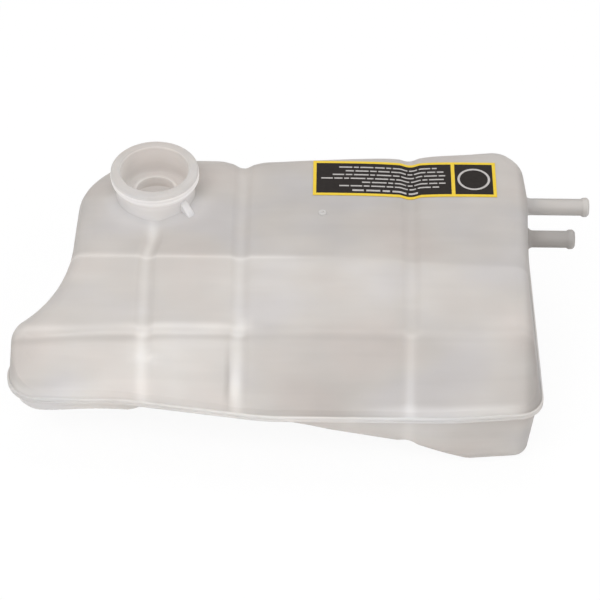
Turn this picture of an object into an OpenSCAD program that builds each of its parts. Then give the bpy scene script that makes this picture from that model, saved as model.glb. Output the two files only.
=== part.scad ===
// Coolant expansion tank: two moulded shells welded together at a flat seam, with a sticker on top.
// X runs along the tank, Y from its front edge to its back edge, and Z up along the filler neck.
// The underside rests on Z = 0 and the origin is the middle of the box round the whole tank.

/* [Plan outline] */
// Length of the tank body over its weld flange
body_l = 319; // [300:1:360]
// Depth of the tank body over its weld flange, at the end with the two small spigots
body_d = 188; // [180:1:210]
// How far the weld flange steps back from the front at the wing
front_step = 12.5; // [4:0.5:16]
// How far the front edge falls back again at the spigot end
front_fall = 5.5; // [0:0.5:9]
// How much shallower the back is at the neck than at the spigot end
back_taper = 11.5; // [4:0.5:14]
// How far the wing reaches past the wall beside the neck
wing_l = 32; // [28:1:44]
// How far the end of the wing leans in from its back to its front
wing_lean = 2.5; // [0:0.5:4]
// Depth of the wing at its tip
wing_d = 31; // [28.5:0.5:34]
// Distance behind the wing's front edge at which its back edge meets the wall beside the neck
wing_root = 53; // [50:0.5:57]
// Plan radius of the back corner of the wing
wing_r = 18; // [12:0.5:18.5]
// Plan radius of the front corner of the wing
wing_front_r = 21; // [16:0.5:21]
// Plan radius of the front corner at the spigot end
corner_r = 16; // [14:0.5:22]
// Plan radius of the back corner at the spigot end
back_corner_r = 25; // [18:0.5:26]
// Plan radius of the corner round the filler neck
neck_corner_r = 53; // [44:1:54]
// Plan radius of the hollow between the neck and the wing
notch_r = 46; // [28:1:48]

/* [Heights] */
// Height of the weld seam above the resting face
seam_h = 45; // [38:1:60]
// Height of the flat roof above the seam
roof_h = 58; // [50:1:72]
// Height above the seam of the lower fold in the roof
fold_h = 40; // [34:0.5:44]
// Distance of the lower fold behind the front edge
fold_front = 33; // [30:0.5:36]
// Distance of the upper fold behind the front edge
fold_back = 80; // [70:1:92]
// How far the upper fold comes forward at the spigot end
fold_drift = 8; // [0:0.5:12]
// How far the lower fold sinks towards the end of the wing
wing_dip = 6; // [0:0.5:8]

/* [Walls and seam] */
// Wall thickness of both shells
wall = 2.6; // [2:0.1:3.2]
// Reach of the weld flange beyond the wall of the upper shell
lip = 1.4; // [1.2:0.1:2.4]
// Thickness of the weld flange on each shell
lip_t = 2; // [1.6:0.1:3]
// Radius of the rounded edge round the roof
edge_r = 8.5; // [6:0.5:9]
// Lean of the upper wall at the wing end, from the seam to the roof
draft = 4.5; // [2:0.25:5]
// Lean of the upper wall at the back
back_draft = 6.5; // [2:0.25:8]
// Lean of the upper wall at the spigot end, where the upper fold meets it
end_draft = 7.5; // [3:0.25:8]
// Lean of that wall behind the spigots
end_draft_back = 3; // [2:0.25:6]
// Step inwards from the upper wall to the lower wall
lower_step = 2; // [1:0.25:3]
// Lean of the lower walls from the seam to the bottom
lower_draft = 3.5; // [2:0.25:4]
// Radius of the rounded edge round the bottom
bottom_r = 8.5; // [5:0.5:9]

/* [Panels] */
// Distance of the first groove from the wing end
groove_1 = 82; // [76:1:88]
// Distance of the second groove from the wing end
groove_2 = 138; // [130:1:146]
// Distance of the third groove from the spigot end
groove_3 = 79.5; // [73:0.5:89]
// Width of a groove over its two sloping sides
groove_w = 13; // [11:0.5:16]
// Width of the flat floor of a groove
groove_floor = 5.5; // [3:0.5:6]
// Depth of a groove
groove_d = 2; // [1:0.1:2.6]
// Sideways bend of the first groove where it meets the neck
groove_bend = 3.5; // [0:0.5:6]
// Swell of each panel between its grooves
swell = 1.6; // [0:0.1:2.5]
// Thickness of the baffles inside
baffle_t = 2.4; // [1.8:0.1:3]
// Width of the gap that lets coolant through each baffle
flow_w = 60; // [40:1:64]
// Height of that gap above the seam, and its depth below it
flow_h = 30; // [20:1:34]
// Diameter of the hole for air at the top of a baffle
air_d = 9; // [5:0.5:12]

/* [Sump] */
// Depth below the seam of the front edge under the wing
chine_wing = 17.5; // [12:0.5:20]
// Depth below the seam of the front edge between the first two grooves
chine_mid = 10; // [8:0.5:13]
// Depth below the seam of the front edge at the third groove
chine_groove = 29.5; // [22:0.5:34]
// Depth of the bottom under the wing
wing_drop = 24; // [20:1:28]
// Slope of the ramp behind the front edge, rise over run
ramp = 0.85; // [0.6:0.05:0.95]

/* [Filler neck] */
// Distance of the neck's axis from the wing end
neck_x = 85.5; // [83:0.5:90]
// Distance of the neck's axis from the front edge
neck_y = 131.5; // [126:0.5:136]
// Height of the neck's rim above the roof
neck_h = 22; // [16:1:28]
// Diameter of the neck's wide rim
neck_d = 53; // [50:0.5:54]
// Diameter of the neck under its wide rim
stem_d = 46.5; // [46:0.5:49]
// Diameter of the mouth
mouth_d = 41; // [38:0.5:44]
// Depth of the mouth down to its floor
mouth_depth = 19; // [15:0.5:20]
// Diameter of the hole from the mouth into the tank
throat_d = 23; // [18:0.5:28]
// Height of the lip round that hole
throat_lip = 2.5; // [1:0.25:4]
// Diameter of the collar at the foot of the neck
collar_d = 51; // [50:0.5:58]
// Thickness of the stop rib beside the neck
stop_t = 5; // [2:0.25:6]

/* [Spigots] */
// Outer diameter of the two small spigots
spigot_d = 10.5; // [9:0.25:12]
// Bore of the two small spigots
spigot_bore = 6.5; // [5:0.25:7]
// Reach of the long spigot beyond the flange
spigot_long = 34; // [26:1:44]
// Reach of the short spigot beyond the flange
spigot_short = 23; // [18:1:32]
// Distance of the long spigot from the back edge
spigot_back = 30.5; // [28:0.5:40]
// Distance between the two small spigots
spigot_pitch = 30; // [24:1:36]
// Height of the two small spigots above the seam
spigot_h = 30; // [20:1:36]
// Outer diameter of the outlet at the back
outlet_d = 20; // [16:0.5:24]
// Bore of the outlet
outlet_bore = 15; // [12:0.5:16]
// Reach of the outlet beyond the flange
outlet_l = 26; // [20:1:34]
// Distance of the outlet from the spigot end
outlet_x = 60; // [40:1:70]
// Depth of the outlet's axis below the seam
outlet_drop = 24; // [20:0.5:28]
// Height of the bead round the end of each spigot
bead = 0.8; // [0.4:0.1:1.2]

/* [Sticker] */
// Length of the sticker
label_l = 112; // [90:1:120]
// Width of the sticker
label_w = 32; // [24:1:36]
// Thickness of the sticker
label_t = 0.35; // [0.2:0.05:0.6]
// Distance of the sticker from the spigot end
label_right = 26; // [22:1:34]
// Distance of the sticker's front edge from the front edge of the tank
label_front = 132; // [126:1:134]

/* [Hidden] */
$fn = 72;
shell_colour = [0.84, 0.82, 0.79];
sticker_colour = [0.16, 0.15, 0.16];
overlap = 0.5;
sticker_gap = 0.08;
probe = 1.5;

// Soft corners of the outline, as distances from the nearest groove or end
wing_knee = 12;
mid_knee = 16;
sump_knee = 23;
back_knee = 20;
end_lean = 3;
neck_wall_lean = 1.5;
soft_r = 150;

// Places of the outline in the tank's own frame
left = -(body_l + spigot_long) / 2;
right = left + body_l;
front = -(body_d + outlet_l) / 2;
back = front + body_d;
neck = [left + neck_x, front + neck_y];
neck_wall_x = left + wing_l;
grooves = [left + groove_1, left + groove_2, right - groove_3];
arc_n = 12;
half_arc = arc_n / 2;

// Corners of the weld flange, anticlockwise from the front of the wing: x, y and radius
corners = [
    [left + wing_lean, front + front_step, wing_front_r],
    [grooves[0] - wing_knee, front + front_step, soft_r],
    [grooves[1] + mid_knee, front, soft_r],
    [grooves[2] + sump_knee, front, soft_r],
    [right, front + front_fall, corner_r],
    [right - end_lean, back, back_corner_r],
    [grooves[1] + back_knee, back - back_taper, soft_r],
    [neck_wall_x + neck_wall_lean, back - back_taper, neck_corner_r],
    [neck_wall_x, front + front_step + wing_root, notch_r],
    [left - wing_lean / 5, front + front_step + wing_d, wing_r]
];
corner_n = len(corners);
front_left = 0;
front_right = 4;
back_right = 5;
back_left = 7;

function unit(v) = v / norm(v);
function mix(a, b, t) = a + (b - a) * t;
function clamp(t) = max(0, min(1, t));
function smooth(t) = let (c = clamp(t)) c * c * (3 - 2 * c);
function flat(p) = [p[0], p[1]];
function soft_min(a, b, k) = let (h = max(k - abs(a - b), 0) / k) min(a, b) - h * h * k / 4;

// One rounded corner of the outline as arc_n chords
function corner_arc(k) =
    let (
        here = flat(corners[k]),
        came = unit(here - flat(corners[(k + corner_n - 1) % corner_n])),
        goes = unit(flat(corners[(k + 1) % corner_n]) - here),
        turn = atan2(came[0] * goes[1] - came[1] * goes[0], came * goes),
        side = sign(turn),
        r = corners[k][2],
        begin = here - came * r * tan(abs(turn) / 2),
        hub = begin + side * r * [-came[1], came[0]],
        spoke = begin - hub
    )
    [for (s = [0:arc_n]) let (a = turn * s / arc_n)
        hub + [spoke[0] * cos(a) - spoke[1] * sin(a), spoke[0] * sin(a) + spoke[1] * cos(a)]];

// The whole outline, from the middle of the first corner round to that point again
arcs = [for (k = [0:corner_n - 1]) corner_arc(k)];
outline = concat(
    [for (s = [half_arc:arc_n]) arcs[0][s]],
    [for (k = [1:corner_n - 1]) for (p = arcs[k]) p],
    [for (s = [0:half_arc]) arcs[0][s]]
);

// The outline as a curve of its own length, and the length at the middle of a corner
function lengths(line, k = 1, sum = 0, out = [0]) =
    k == len(line) ? out :
    let (s = sum + norm(line[k] - line[k - 1])) lengths(line, k + 1, s, concat(out, [s]));
run = lengths(outline);
round_l = run[len(run) - 1];
run_x = [for (k = [0:len(run) - 1]) [run[k], outline[k][0]]];
run_y = [for (k = [0:len(run) - 1]) [run[k], outline[k][1]]];
function wrap(s) = s - round_l * floor(s / round_l);
function on_line(s) = [lookup(wrap(s), run_x), lookup(wrap(s), run_y)];
function inward(s) = let (t = unit(on_line(s + probe) - on_line(s - probe))) [-t[1], t[0]];
function inside(s, d) = on_line(s) + d * inward(s);
function corner_index(k) = k == 0 ? 0 : half_arc + 1 + (k - 1) * (arc_n + 1) + half_arc;
function corner_s(k) = run[corner_index(k)];

// Length along one side of the outline at which x or y has a value
function side_table(axis, from, to) = [for (k = [corner_index(from):to]) [outline[k][axis], run[k]]];
front_table = side_table(0, front_left, corner_index(front_right));
right_table = side_table(1, front_right, corner_index(back_right));
back_table = side_table(0, back_right, corner_index(back_left));
left_table = side_table(1, back_left, len(outline) - 1);
front_ends = [on_line(0)[0], on_line(corner_s(front_right))[0]];
back_ends = [on_line(corner_s(back_left))[0], on_line(corner_s(back_right))[0]];

// Columns across the tank: straight ones from groove to groove, and shares of the way to each end
groove_floor_t = 0.5 * groove_floor / groove_w;
groove_cols = [-0.5, -0.3, -groove_floor_t, groove_floor_t, 0.3, 0.5];
function groove_set(x) = [for (t = groove_cols) x + t * groove_w];
function between(a, b, n) = [for (k = [1:n]) mix(a, b, k / (n + 1))];
half_w = groove_w / 2;
end_panel = 10;
straight_end = right - back_corner_r - end_panel;
middle_x = concat(
    groove_set(grooves[0]), between(grooves[0] + half_w, grooves[1] - half_w, 3),
    groove_set(grooves[1]), between(grooves[1] + half_w, grooves[2] - half_w, 5),
    groove_set(grooves[2]), between(grooves[2] + half_w, straight_end, 3), [straight_end]
);
left_cols = [0, 0.12, 0.27, 0.45, 0.65, 0.85];
right_cols = [0.35, 0.7, 1];
first = len(left_cols);
last = first + len(middle_x) - 1;
col_n = last + 1 + len(right_cols);
function side_x(c, ends) =
    c < first ? mix(ends[0], middle_x[0], left_cols[c]) :
    c > last ? mix(straight_end, ends[1], right_cols[c - last - 1]) : middle_x[c - first];
col_x = [for (c = [0:col_n - 1]) side_x(c, front_ends)];

// How deep a groove is, and how far a panel swells, at a place along X
function groove_shape(x, g) =
    1 - smooth((abs(x - g) - groove_floor / 2) / (half_w - groove_floor / 2));
function groove_at(x, list) = max([for (g = list) groove_shape(x, g)]);
panel_edges = concat([left], grooves, [right]);
function panel_of(x) = max([for (e = [0:len(grooves)]) x >= panel_edges[e] ? e : 0]);
function panel_t(x) = let (k = panel_of(x))
    clamp((x - panel_edges[k]) / (panel_edges[k + 1] - panel_edges[k]));
function swell_at(x) = 1 - pow(abs(2 * panel_t(x) - 1), 3);

// The first groove ends at the neck, and bends a little on its way there
neck_room = 6.5;
neck_clear = collar_d / 2 + neck_room;
fade_l = 22;
bend_ahead = 6;
bend_l = 22;
bend_reach = 30;
notch_flat = 1;
function neck_fade(y) = 1 - smooth((y - neck[1] + neck_clear) / fade_l);
function groove_depth(x, y) = groove_d * max(groove_at(x, [grooves[1], grooves[2]]),
    groove_shape(x, grooves[0]) * neck_fade(y));
function bend_at(x, y) = groove_bend * smooth((y - fold_back_y(x) + bend_ahead) / bend_l)
    * (1 - smooth((abs(x - grooves[0]) - half_w) / bend_reach));
function notch_shape(x, g) = 1 - smooth((abs(x - g) - notch_flat) / (1.1 * groove_w));
back_notch = [for (c = [0:col_n - 1]) let (x = side_x(c, back_ends))
    groove_d * max(1.7 * notch_shape(x, grooves[1]), 0.5 * notch_shape(x, grooves[2]))];

// Each row of a shell: its band, its share of the band, and its distance behind the front edge
function rows_of(bands, stops) = [for (b = [0:len(bands) - 1]) for (t = bands[b])
    [b, t, mix(stops[b], stops[b + 1], t)]];
function along(row, stops) = mix(stops[row[0]], stops[row[0] + 1], row[1]);
function stops_of(begin, folds, end) = concat([begin], folds, [end]);

// Lengths along the outline for the edge of a shell: front and back columns, left and right rows
function edge_runs(rows, folds) =
    let (
        left_y = [for (f = folds) lookup(f(left), left_table)],
        right_y = [for (f = folds) lookup(f(right), right_table)]
    )
    [
        [for (c = [0:col_n - 1]) lookup(col_x[c], front_table)],
        [for (r = rows) along(r, stops_of(corner_s(front_right), right_y, corner_s(back_right)))],
        [for (c = [0:col_n - 1]) lookup(side_x(c, back_ends), back_table)],
        [for (r = rows) along(r, stops_of(round_l, left_y, corner_s(back_left)))]
    ];

// Plan of a shell inside its outline: a list of columns, each a list of points from front to back.
// Every point of its edge has its own inset, listed in the same four sides as the lengths.
function all_inside(runs, insets) = [for (k = [0:len(runs) - 1]) inside(runs[k], insets[k])];
function plan_grid(rows, folds, runs, insets) =
    let (
        f = all_inside(runs[0], insets[0]),
        b = all_inside(runs[2], insets[2] + back_notch),
        r_edge = all_inside(runs[1], insets[1]),
        l_edge = all_inside(runs[3], insets[3]),
        span = rows[len(rows) - 1][2] - rows[0][2],
        middle = [for (c = [first:last])
            let (stops = stops_of(f[c][1], [for (g = folds) g(f[c][0])], b[c][1]))
            [for (row = rows) let (y = along(row, stops))
                [mix(f[c][0], b[c][0], (y - f[c][1]) / (b[c][1] - f[c][1])) + bend_at(f[c][0], y), y]]]
    )
    [for (c = [0:col_n - 1]) [for (k = [0:len(rows) - 1])
        let (v = (rows[k][2] - rows[0][2]) / span)
        c < first ? patch(l_edge[k], middle[0][k], left_cols[c], v, f, b, c, 0, first) :
        c > last ? patch(middle[last - first][k], r_edge[k], right_cols[c - last - 1], v, f, b, c,
            last, col_n - 1) :
        middle[c - first][k]]];
function patch(p, q, t, v, f, b, c, c0, c1) =
    mix(p, q, t) + (1 - v) * (f[c] - mix(f[c0], f[c1], t)) + v * (b[c] - mix(b[c0], b[c1], t));

// The places of a grid that lie on its edge, anticlockwise
function edge_loop(n) = concat(
    [for (c = [0:col_n - 2]) [c, 0]], [for (k = [0:n - 2]) [col_n - 1, k]],
    [for (c = [col_n - 1:-1:1]) [c, n - 1]], [for (k = [n - 1:-1:1]) [0, k]]);
function loop_of(n, sides) = concat(
    [for (c = [0:col_n - 2]) sides[0][c]], [for (k = [0:n - 2]) sides[1][k]],
    [for (c = [col_n - 1:-1:1]) sides[2][c]], [for (k = [n - 1:-1:1]) sides[3][k]]);
function loop_notch(n) = [for (p = edge_loop(n)) p[1] == n - 1 ? back_notch[p[0]] : 0];

// Closed skin of a shell: rings up its outer wall, its outer face, and the same inside
function ring_faces(a, b, n) = [for (k = [0:n - 1]) let (m = (k + 1) % n)
    each [[a[k], b[k], b[m]], [a[k], b[m], a[m]]]];
function grid_faces(base, n) = [for (c = [0:col_n - 2]) for (k = [0:n - 2])
    let (p = base + c * n + k)
    each [[p, p + 1, p + n + 1], [p, p + n + 1, p + n]]];
function turned(faces) = [for (f = faces) [f[2], f[1], f[0]]];
function skin_faces(n, outer_rings, inner_rings) =
    let (
        loop = edge_loop(n),
        m = len(loop),
        grid_n = col_n * n,
        outer_base = outer_rings * m,
        inner_first = outer_base + grid_n,
        inner_base = inner_first + inner_rings * m,
        outer = concat([for (k = [0:outer_rings - 1]) [for (b = [0:m - 1]) k * m + b]],
            [[for (p = loop) outer_base + p[0] * n + p[1]]]),
        inner = concat([for (k = [0:inner_rings - 1]) [for (b = [0:m - 1]) inner_first + k * m + b]],
            [[for (p = loop) inner_base + p[0] * n + p[1]]])
    )
    concat(
        [for (k = [0:outer_rings - 1]) each ring_faces(outer[k], outer[k + 1], m)],
        grid_faces(outer_base, n),
        turned([for (k = [0:inner_rings - 1]) each ring_faces(inner[k], inner[k + 1], m)]),
        turned(grid_faces(inner_base, n)),
        turned(ring_faces(outer[0], inner[0], m))
    );
function lifted(points, z) = [for (k = [0:len(points) - 1]) [points[k][0], points[k][1], z[k]]];
function grid_points(grid, z) = [for (c = [0:col_n - 1]) for (k = [0:len(grid[c]) - 1])
    [grid[c][k][0], grid[c][k][1], z[c][k]]];

// Upper shell: heights above the seam at a place in plan. A steep front, a gentle slope and a flat
// roof meet in two folds.
front_line = concat([[left - 1, front + front_step]],
    [for (k = [half_arc:corner_index(front_right) - half_arc]) outline[k]],
    [[right, front + front_fall]]);
dip_start = 15;
drift_l = 120;
fold_soft = 3;
function front_y(x) = lookup(x, front_line);
function fold_z(x) = let (t = clamp((grooves[0] + dip_start - x) / (groove_1 + dip_start)))
    fold_h - wing_dip * pow(t, 1.5);
function fold_back_y(x) = front + fold_back - fold_drift * smooth((x - grooves[2]) / drift_l + 0.5);
function front_slope(x) = (fold_z(x) - lip_t) / (front + fold_front - front_y(x));
function back_slope(x) = (roof_h - fold_z(x)) / (fold_back_y(x) - front - fold_front);
function front_plane(x, y) = lip_t + (y - front_y(x)) * front_slope(x);
function back_plane(x, y) = fold_z(x) + (y - front - fold_front) * back_slope(x);
function roof_at(x, y) = soft_min(roof_h,
    soft_min(front_plane(x, y), back_plane(x, y), fold_soft), fold_soft);
upper_folds = [function(x) front + fold_front, function(x) fold_back_y(x)];
front_lean = 0.3 * draft;
roof_inset = lip + front_lean + edge_r;
roof_end = body_d - lip - back_draft - edge_r;
upper_rows = rows_of([[0, 0.4, 0.8], [0, 0.08, 0.2, 0.34, 0.48, 0.62, 0.78, 0.92],
    [0, 0.08, 0.2, 0.5, 0.8, 1]], [roof_inset, fold_front, fold_back, roof_end]);
upper_n = len(upper_rows);
function hump(t) = 4 * t * (1 - t);
function row_swell(row) = row[0] == 2 ? smooth(row[1] / 0.2) : row[0] == 1 ? hump(row[1]) :
    hump((row[2] - lip) / (fold_front - lip));
upper_runs = edge_runs(upper_rows, upper_folds);

// A wall leans in by a share of the full draft that grows with its height
function row_lean(high, far) = [for (r = upper_rows) lookup(r[2], [[roof_inset, front_lean],
    [fold_front, high * fold_h / roof_h], [fold_back, high], [0.5 * (fold_back + body_d), far]])];
upper_lean = [[for (x = col_x) front_lean], row_lean(end_draft, end_draft_back),
    [for (x = col_x) back_draft], row_lean(draft, draft)];
function add_to(sides, d) = [for (side = sides) [for (v = side) v + d]];
upper_grid = plan_grid(upper_rows, upper_folds, upper_runs, add_to(upper_lean, lip + edge_r));
function detail_at(c, k) = swell * swell_at(col_x[c]) * row_swell(upper_rows[k])
    - groove_depth(col_x[c], upper_grid[c][k][1]);
upper_z = [for (c = [0:col_n - 1]) [for (k = [0:upper_n - 1]) let (p = upper_grid[c][k])
    roof_at(p[0], p[1]) + detail_at(c, k)]];

// A sloping wall of the shell is as thick across as a level one, so it is deeper measured upright
function upright(slope) = wall * sqrt(1 + slope * slope);
function sloped_wall(x, row) = row[0] == 0 ? upright(front_slope(x)) :
    row[0] == 1 ? upright(back_slope(x)) : wall;
upper_inner_z = [for (c = [0:col_n - 1]) [for (k = [0:upper_n - 1])
    upper_z[c][k] - sloped_wall(upper_grid[c][k][0], upper_rows[k])]];

// Rings up the wall of the upper shell: upright with a round top edge, or on the front slope where
// that is lower. Grooves and swell fade out on the way down to the flange.
upper_loop = edge_loop(upper_n);
upper_s = loop_of(upper_n, upper_runs);
upper_in = loop_of(upper_n, upper_lean);
upper_notch = loop_notch(upper_n);
upper_edge_z = [for (p = upper_loop) upper_z[p[0]][p[1]]];
upper_detail = [for (p = upper_loop) detail_at(p[0], p[1])];
function wall_ring(s, notch, lean, d) = [for (k = [0:len(s) - 1]) inside(s[k], d + lean[k] + notch[k])];
function round_drop(z, r) = min(r, 0.6 * (z - lip_t));
ring_soft = 2;
corner_cut = 0.3;
foot_notch = 0.3;
ring_least = 1;
function upper_ring(d, cut, sink) = [for (k = [0:len(upper_s) - 1])
    let (
        p = inside(upper_s[k], d + upper_in[k] + upper_notch[k]),
        top = upper_edge_z[k] - cut * round_drop(upper_edge_z[k], edge_r),
        slope = front_plane(p[0], p[1]) + upper_detail[k] * sqrt(d / (lip + edge_r))
            - sink * upright(front_slope(p[0]))
    )
    [p[0], p[1], max(ring_least, soft_min(top, slope, ring_soft))]];
function zeros(list) = [for (v = list) 0];
function level(list, z) = [for (v = list) z];
upper_0 = zeros(upper_s);
upper_points = concat(
    lifted(wall_ring(upper_s, upper_0, upper_0, 0), upper_0),
    lifted(wall_ring(upper_s, upper_0, upper_0, 0), level(upper_s, lip_t)),
    lifted(wall_ring(upper_s, foot_notch * upper_notch, upper_0, lip), level(upper_s, lip_t)),
    upper_ring(lip, 1, 0),
    upper_ring(lip + corner_cut * edge_r, corner_cut, 0),
    grid_points(upper_grid, upper_z),
    lifted(wall_ring(upper_s, foot_notch * upper_notch, upper_0, lip + wall), upper_0),
    upper_ring(lip + wall, 1, 1),
    grid_points(upper_grid, upper_inner_z)
);
module upper_skin() {
    polyhedron(upper_points, skin_faces(upper_n, 5, 2), convexity = 8);
}

// Lower shell: depths below the seam
inner_sink = 0.5;
chine_soft = 1;
lower_root = lip + lower_step;
lower_lean_0 = lower_draft * chine_wing / seam_h;
belly = 58;
wing_end = 8;
mid_start = 8;
mid_end = 20;
half_way = 55;
sump_start = 36;
drop_start = 8;
drop_l = 30;
lower_folds = [function(x) front + belly];
lower_rows = rows_of([[0, 0.2, 0.4, 0.6, 0.8], [0, 0.15, 0.3, 0.6, 1]],
    [lower_root + lower_lean_0 + bottom_r, belly, body_d - lower_root - lower_draft - bottom_r]);
lower_n = len(lower_rows);
lower_runs = edge_runs(lower_rows, lower_folds);
function chine_at(x) = lookup(x, [
    [grooves[0] - wing_end, chine_wing], [grooves[0] + mid_start, chine_mid],
    [grooves[1] + mid_end, chine_mid], [grooves[1] + half_way, mix(chine_mid, chine_groove, 0.5)],
    [grooves[2], chine_groove], [grooves[2] + sump_start, seam_h]]);
function deep_at(x) = mix(wing_drop, seam_h, smooth((x - neck_wall_x + drop_start) / drop_l));
lower_lean = [for (side = lower_runs) [for (s = side) lower_draft * deep_at(on_line(s)[0]) / seam_h]];
lower_grid = plan_grid(lower_rows, lower_folds, lower_runs, add_to(lower_lean, lower_root + bottom_r));
function depth_at(p, c) = soft_min(deep_at(p[0]),
    chine_at(p[0]) + ramp * max(0, p[1] - lower_grid[c][0][1]), chine_soft);
lower_z = [for (c = [0:col_n - 1]) [for (k = [0:lower_n - 1])
    depth_at(lower_grid[c][k], c) - groove_depth(col_x[c], lower_grid[c][k][1])]];
function lower_wall(z) = z > seam_h - 2 * wall ? wall : upright(ramp);
lower_inner_z = [for (col = lower_z) [for (z = col) z - lower_wall(z)]];
lower_loop = edge_loop(lower_n);
lower_s = loop_of(lower_n, lower_runs);
lower_in = loop_of(lower_n, lower_lean);
lower_notch = loop_notch(lower_n);
lower_edge_z = [for (p = lower_loop) lower_z[p[0]][p[1]]];
lower_0 = zeros(lower_s);
function bottom_drop(z) = round_drop(z, bottom_r);
lower_points = concat(
    lifted(wall_ring(lower_s, lower_0, lower_0, 0), lower_0),
    lifted(wall_ring(lower_s, lower_0, lower_0, 0), level(lower_s, lip_t)),
    lifted(wall_ring(lower_s, foot_notch * lower_notch, lower_0, lower_root), level(lower_s, lip_t)),
    lifted(wall_ring(lower_s, lower_notch, lower_in, lower_root),
        [for (z = lower_edge_z) z - bottom_drop(z)]),
    lifted(wall_ring(lower_s, lower_notch, lower_in, lower_root + corner_cut * bottom_r),
        [for (z = lower_edge_z) z - corner_cut * bottom_drop(z)]),
    grid_points(lower_grid, lower_z),
    lifted(wall_ring(lower_s, foot_notch * lower_notch, lower_0, lower_root + wall), lower_0),
    lifted(wall_ring(lower_s, lower_notch, lower_in, lower_root + wall),
        [for (z = lower_edge_z) z - bottom_drop(z) - inner_sink]),
    grid_points(lower_grid, lower_inner_z)
);
module lower_skin() {
    polyhedron([for (p = lower_points) [p[0], p[1], -p[2]]], turned(skin_faces(lower_n, 5, 2)),
        convexity = 8);
}

// Cross section of a shell at a groove, taken halfway through its wall, as the outline of a baffle
function column_at(g) = first + len([for (x = middle_x) if (x < grooves[g]) x]);
function mid_wall(grid, z, inner_z, c) = [for (k = [0:len(grid[c]) - 1])
    [grid[c][k][1], mix(z[c][k], inner_z[c][k], 0.6)]];
function baffle_outline(grid, z, inner_z, c, root) =
    let (m = mid_wall(grid, z, inner_z, c), e = len(m) - 1, half = wall / 2)
    concat([[m[0][0] - root, 0]], m, [[m[e][0] + root - half, m[e][1] - edge_r], [m[e][0] + root, 0]]);

// Filler neck: an outer form, and the hollow that is cut through it and the roof. The mouth narrows a
// little beside the lip round its hole, and the hollow under its floor is narrower again.
foot_z = roof_h - 0.25 * wall;
floor_t = 3;
rim_round = 1.5;
lip_wide = 2.2;
seat_gap = 0.5;
floor_draft = 0.8;
under_step = 2;
foot_rise = 0.8;
rim_l = 7.5;
rim_slope = 3.5;
foot_round = 4.2;
neck_top = roof_h + neck_h;
mouth_floor = neck_top - mouth_depth;
module neck_outer() {
    r = neck_d / 2;
    stem = stem_d / 2;
    bulge = 0.6;
    translate([neck[0], neck[1], 0]) rotate_extrude() polygon([
        [0, foot_z], [collar_d / 2, foot_z], [collar_d / 2, roof_h + foot_rise],
        [stem + bulge, roof_h + foot_rise + 0.5 * foot_round], [stem, roof_h + foot_rise + foot_round],
        [stem, neck_top - rim_l - rim_slope], [r, neck_top - rim_l], [r, neck_top - rim_round], [r - 0.3 * rim_round, neck_top - 0.3 * rim_round],
        [r - rim_round, neck_top], [0, neck_top]]);
}
module neck_hollow() {
    r = mouth_d / 2;
    lip_r = throat_d / 2 + lip_wide;
    lip_top = mouth_floor + throat_lip;
    under = roof_h - 3 * wall;
    translate([neck[0], neck[1], 0]) {
        rotate_extrude() polygon([
            [0, lip_top], [lip_r, lip_top], [lip_r, mouth_floor], [r - floor_draft, mouth_floor],
            [r, lip_top + seat_gap], [r, neck_top - rim_round],
            [r + 0.3 * rim_round, neck_top - 0.3 * rim_round], [r + rim_round, neck_top],
            [r + rim_round, neck_top + overlap], [0, neck_top + overlap]]);
        translate([0, 0, under]) cylinder(h = neck_h + 3 * wall, d = throat_d);
        translate([0, 0, under]) cylinder(h = mouth_floor - floor_t - under, r = r - under_step);
    }
}

// Rib beside the neck that stops its screw cap: a slope from the neck down to the roof
stop_turn = -41;
stop_reach = 6;
stop_foot = 2;
stop_head = 1;
module stop_rib() {
    r = stem_d / 2;
    reach = collar_d / 2 + stop_reach;
    rise = 0.45 * neck_h;
    translate([neck[0], neck[1], foot_z]) rotate([0, 0, stop_turn]) rotate([90, 0, 0])
        translate([0, 0, -stop_t / 2]) linear_extrude(stop_t) polygon([
            [r - overlap, 0], [reach, 0], [reach, stop_foot], [r + stop_head, rise], [r - overlap, rise]]);
}

// A spigot along X from its root: tube, fillet at the root and a bead at its end
spigot_foot = 1.5;
bead_l = 2;
bead_slope = 1.5;
tip_slope = 1.5;
tip_round = 0.5;
module spigot(l, d, root) {
    r = d / 2;
    crest = l - tip_slope - bead_l;
    rotate([0, 90, 0]) rotate_extrude() polygon([
        [0, 0], [r + spigot_foot, 0], [r + spigot_foot, root], [r, root + 1.3 * spigot_foot],
        [r, crest - bead_slope], [r + bead, crest], [r + bead, l - tip_slope], [r - tip_round, l], [0, l]]);
}
small_root_x = right - lip - draft - edge_r * 0.4;
spigot_places = [
    [back - spigot_back, spigot_long],
    [back - spigot_back - spigot_pitch, spigot_short]
];
module small_spigots() {
    for (p = spigot_places)
        translate([small_root_x, p[0], spigot_h])
            spigot(right + p[1] - small_root_x, spigot_d, edge_r * 0.5);
}
module small_bores() {
    for (p = spigot_places)
        translate([small_root_x - 3 * wall, p[0], spigot_h]) rotate([0, 90, 0])
            cylinder(h = right + p[1] - small_root_x + 4 * wall, d = spigot_bore);
}

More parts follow.
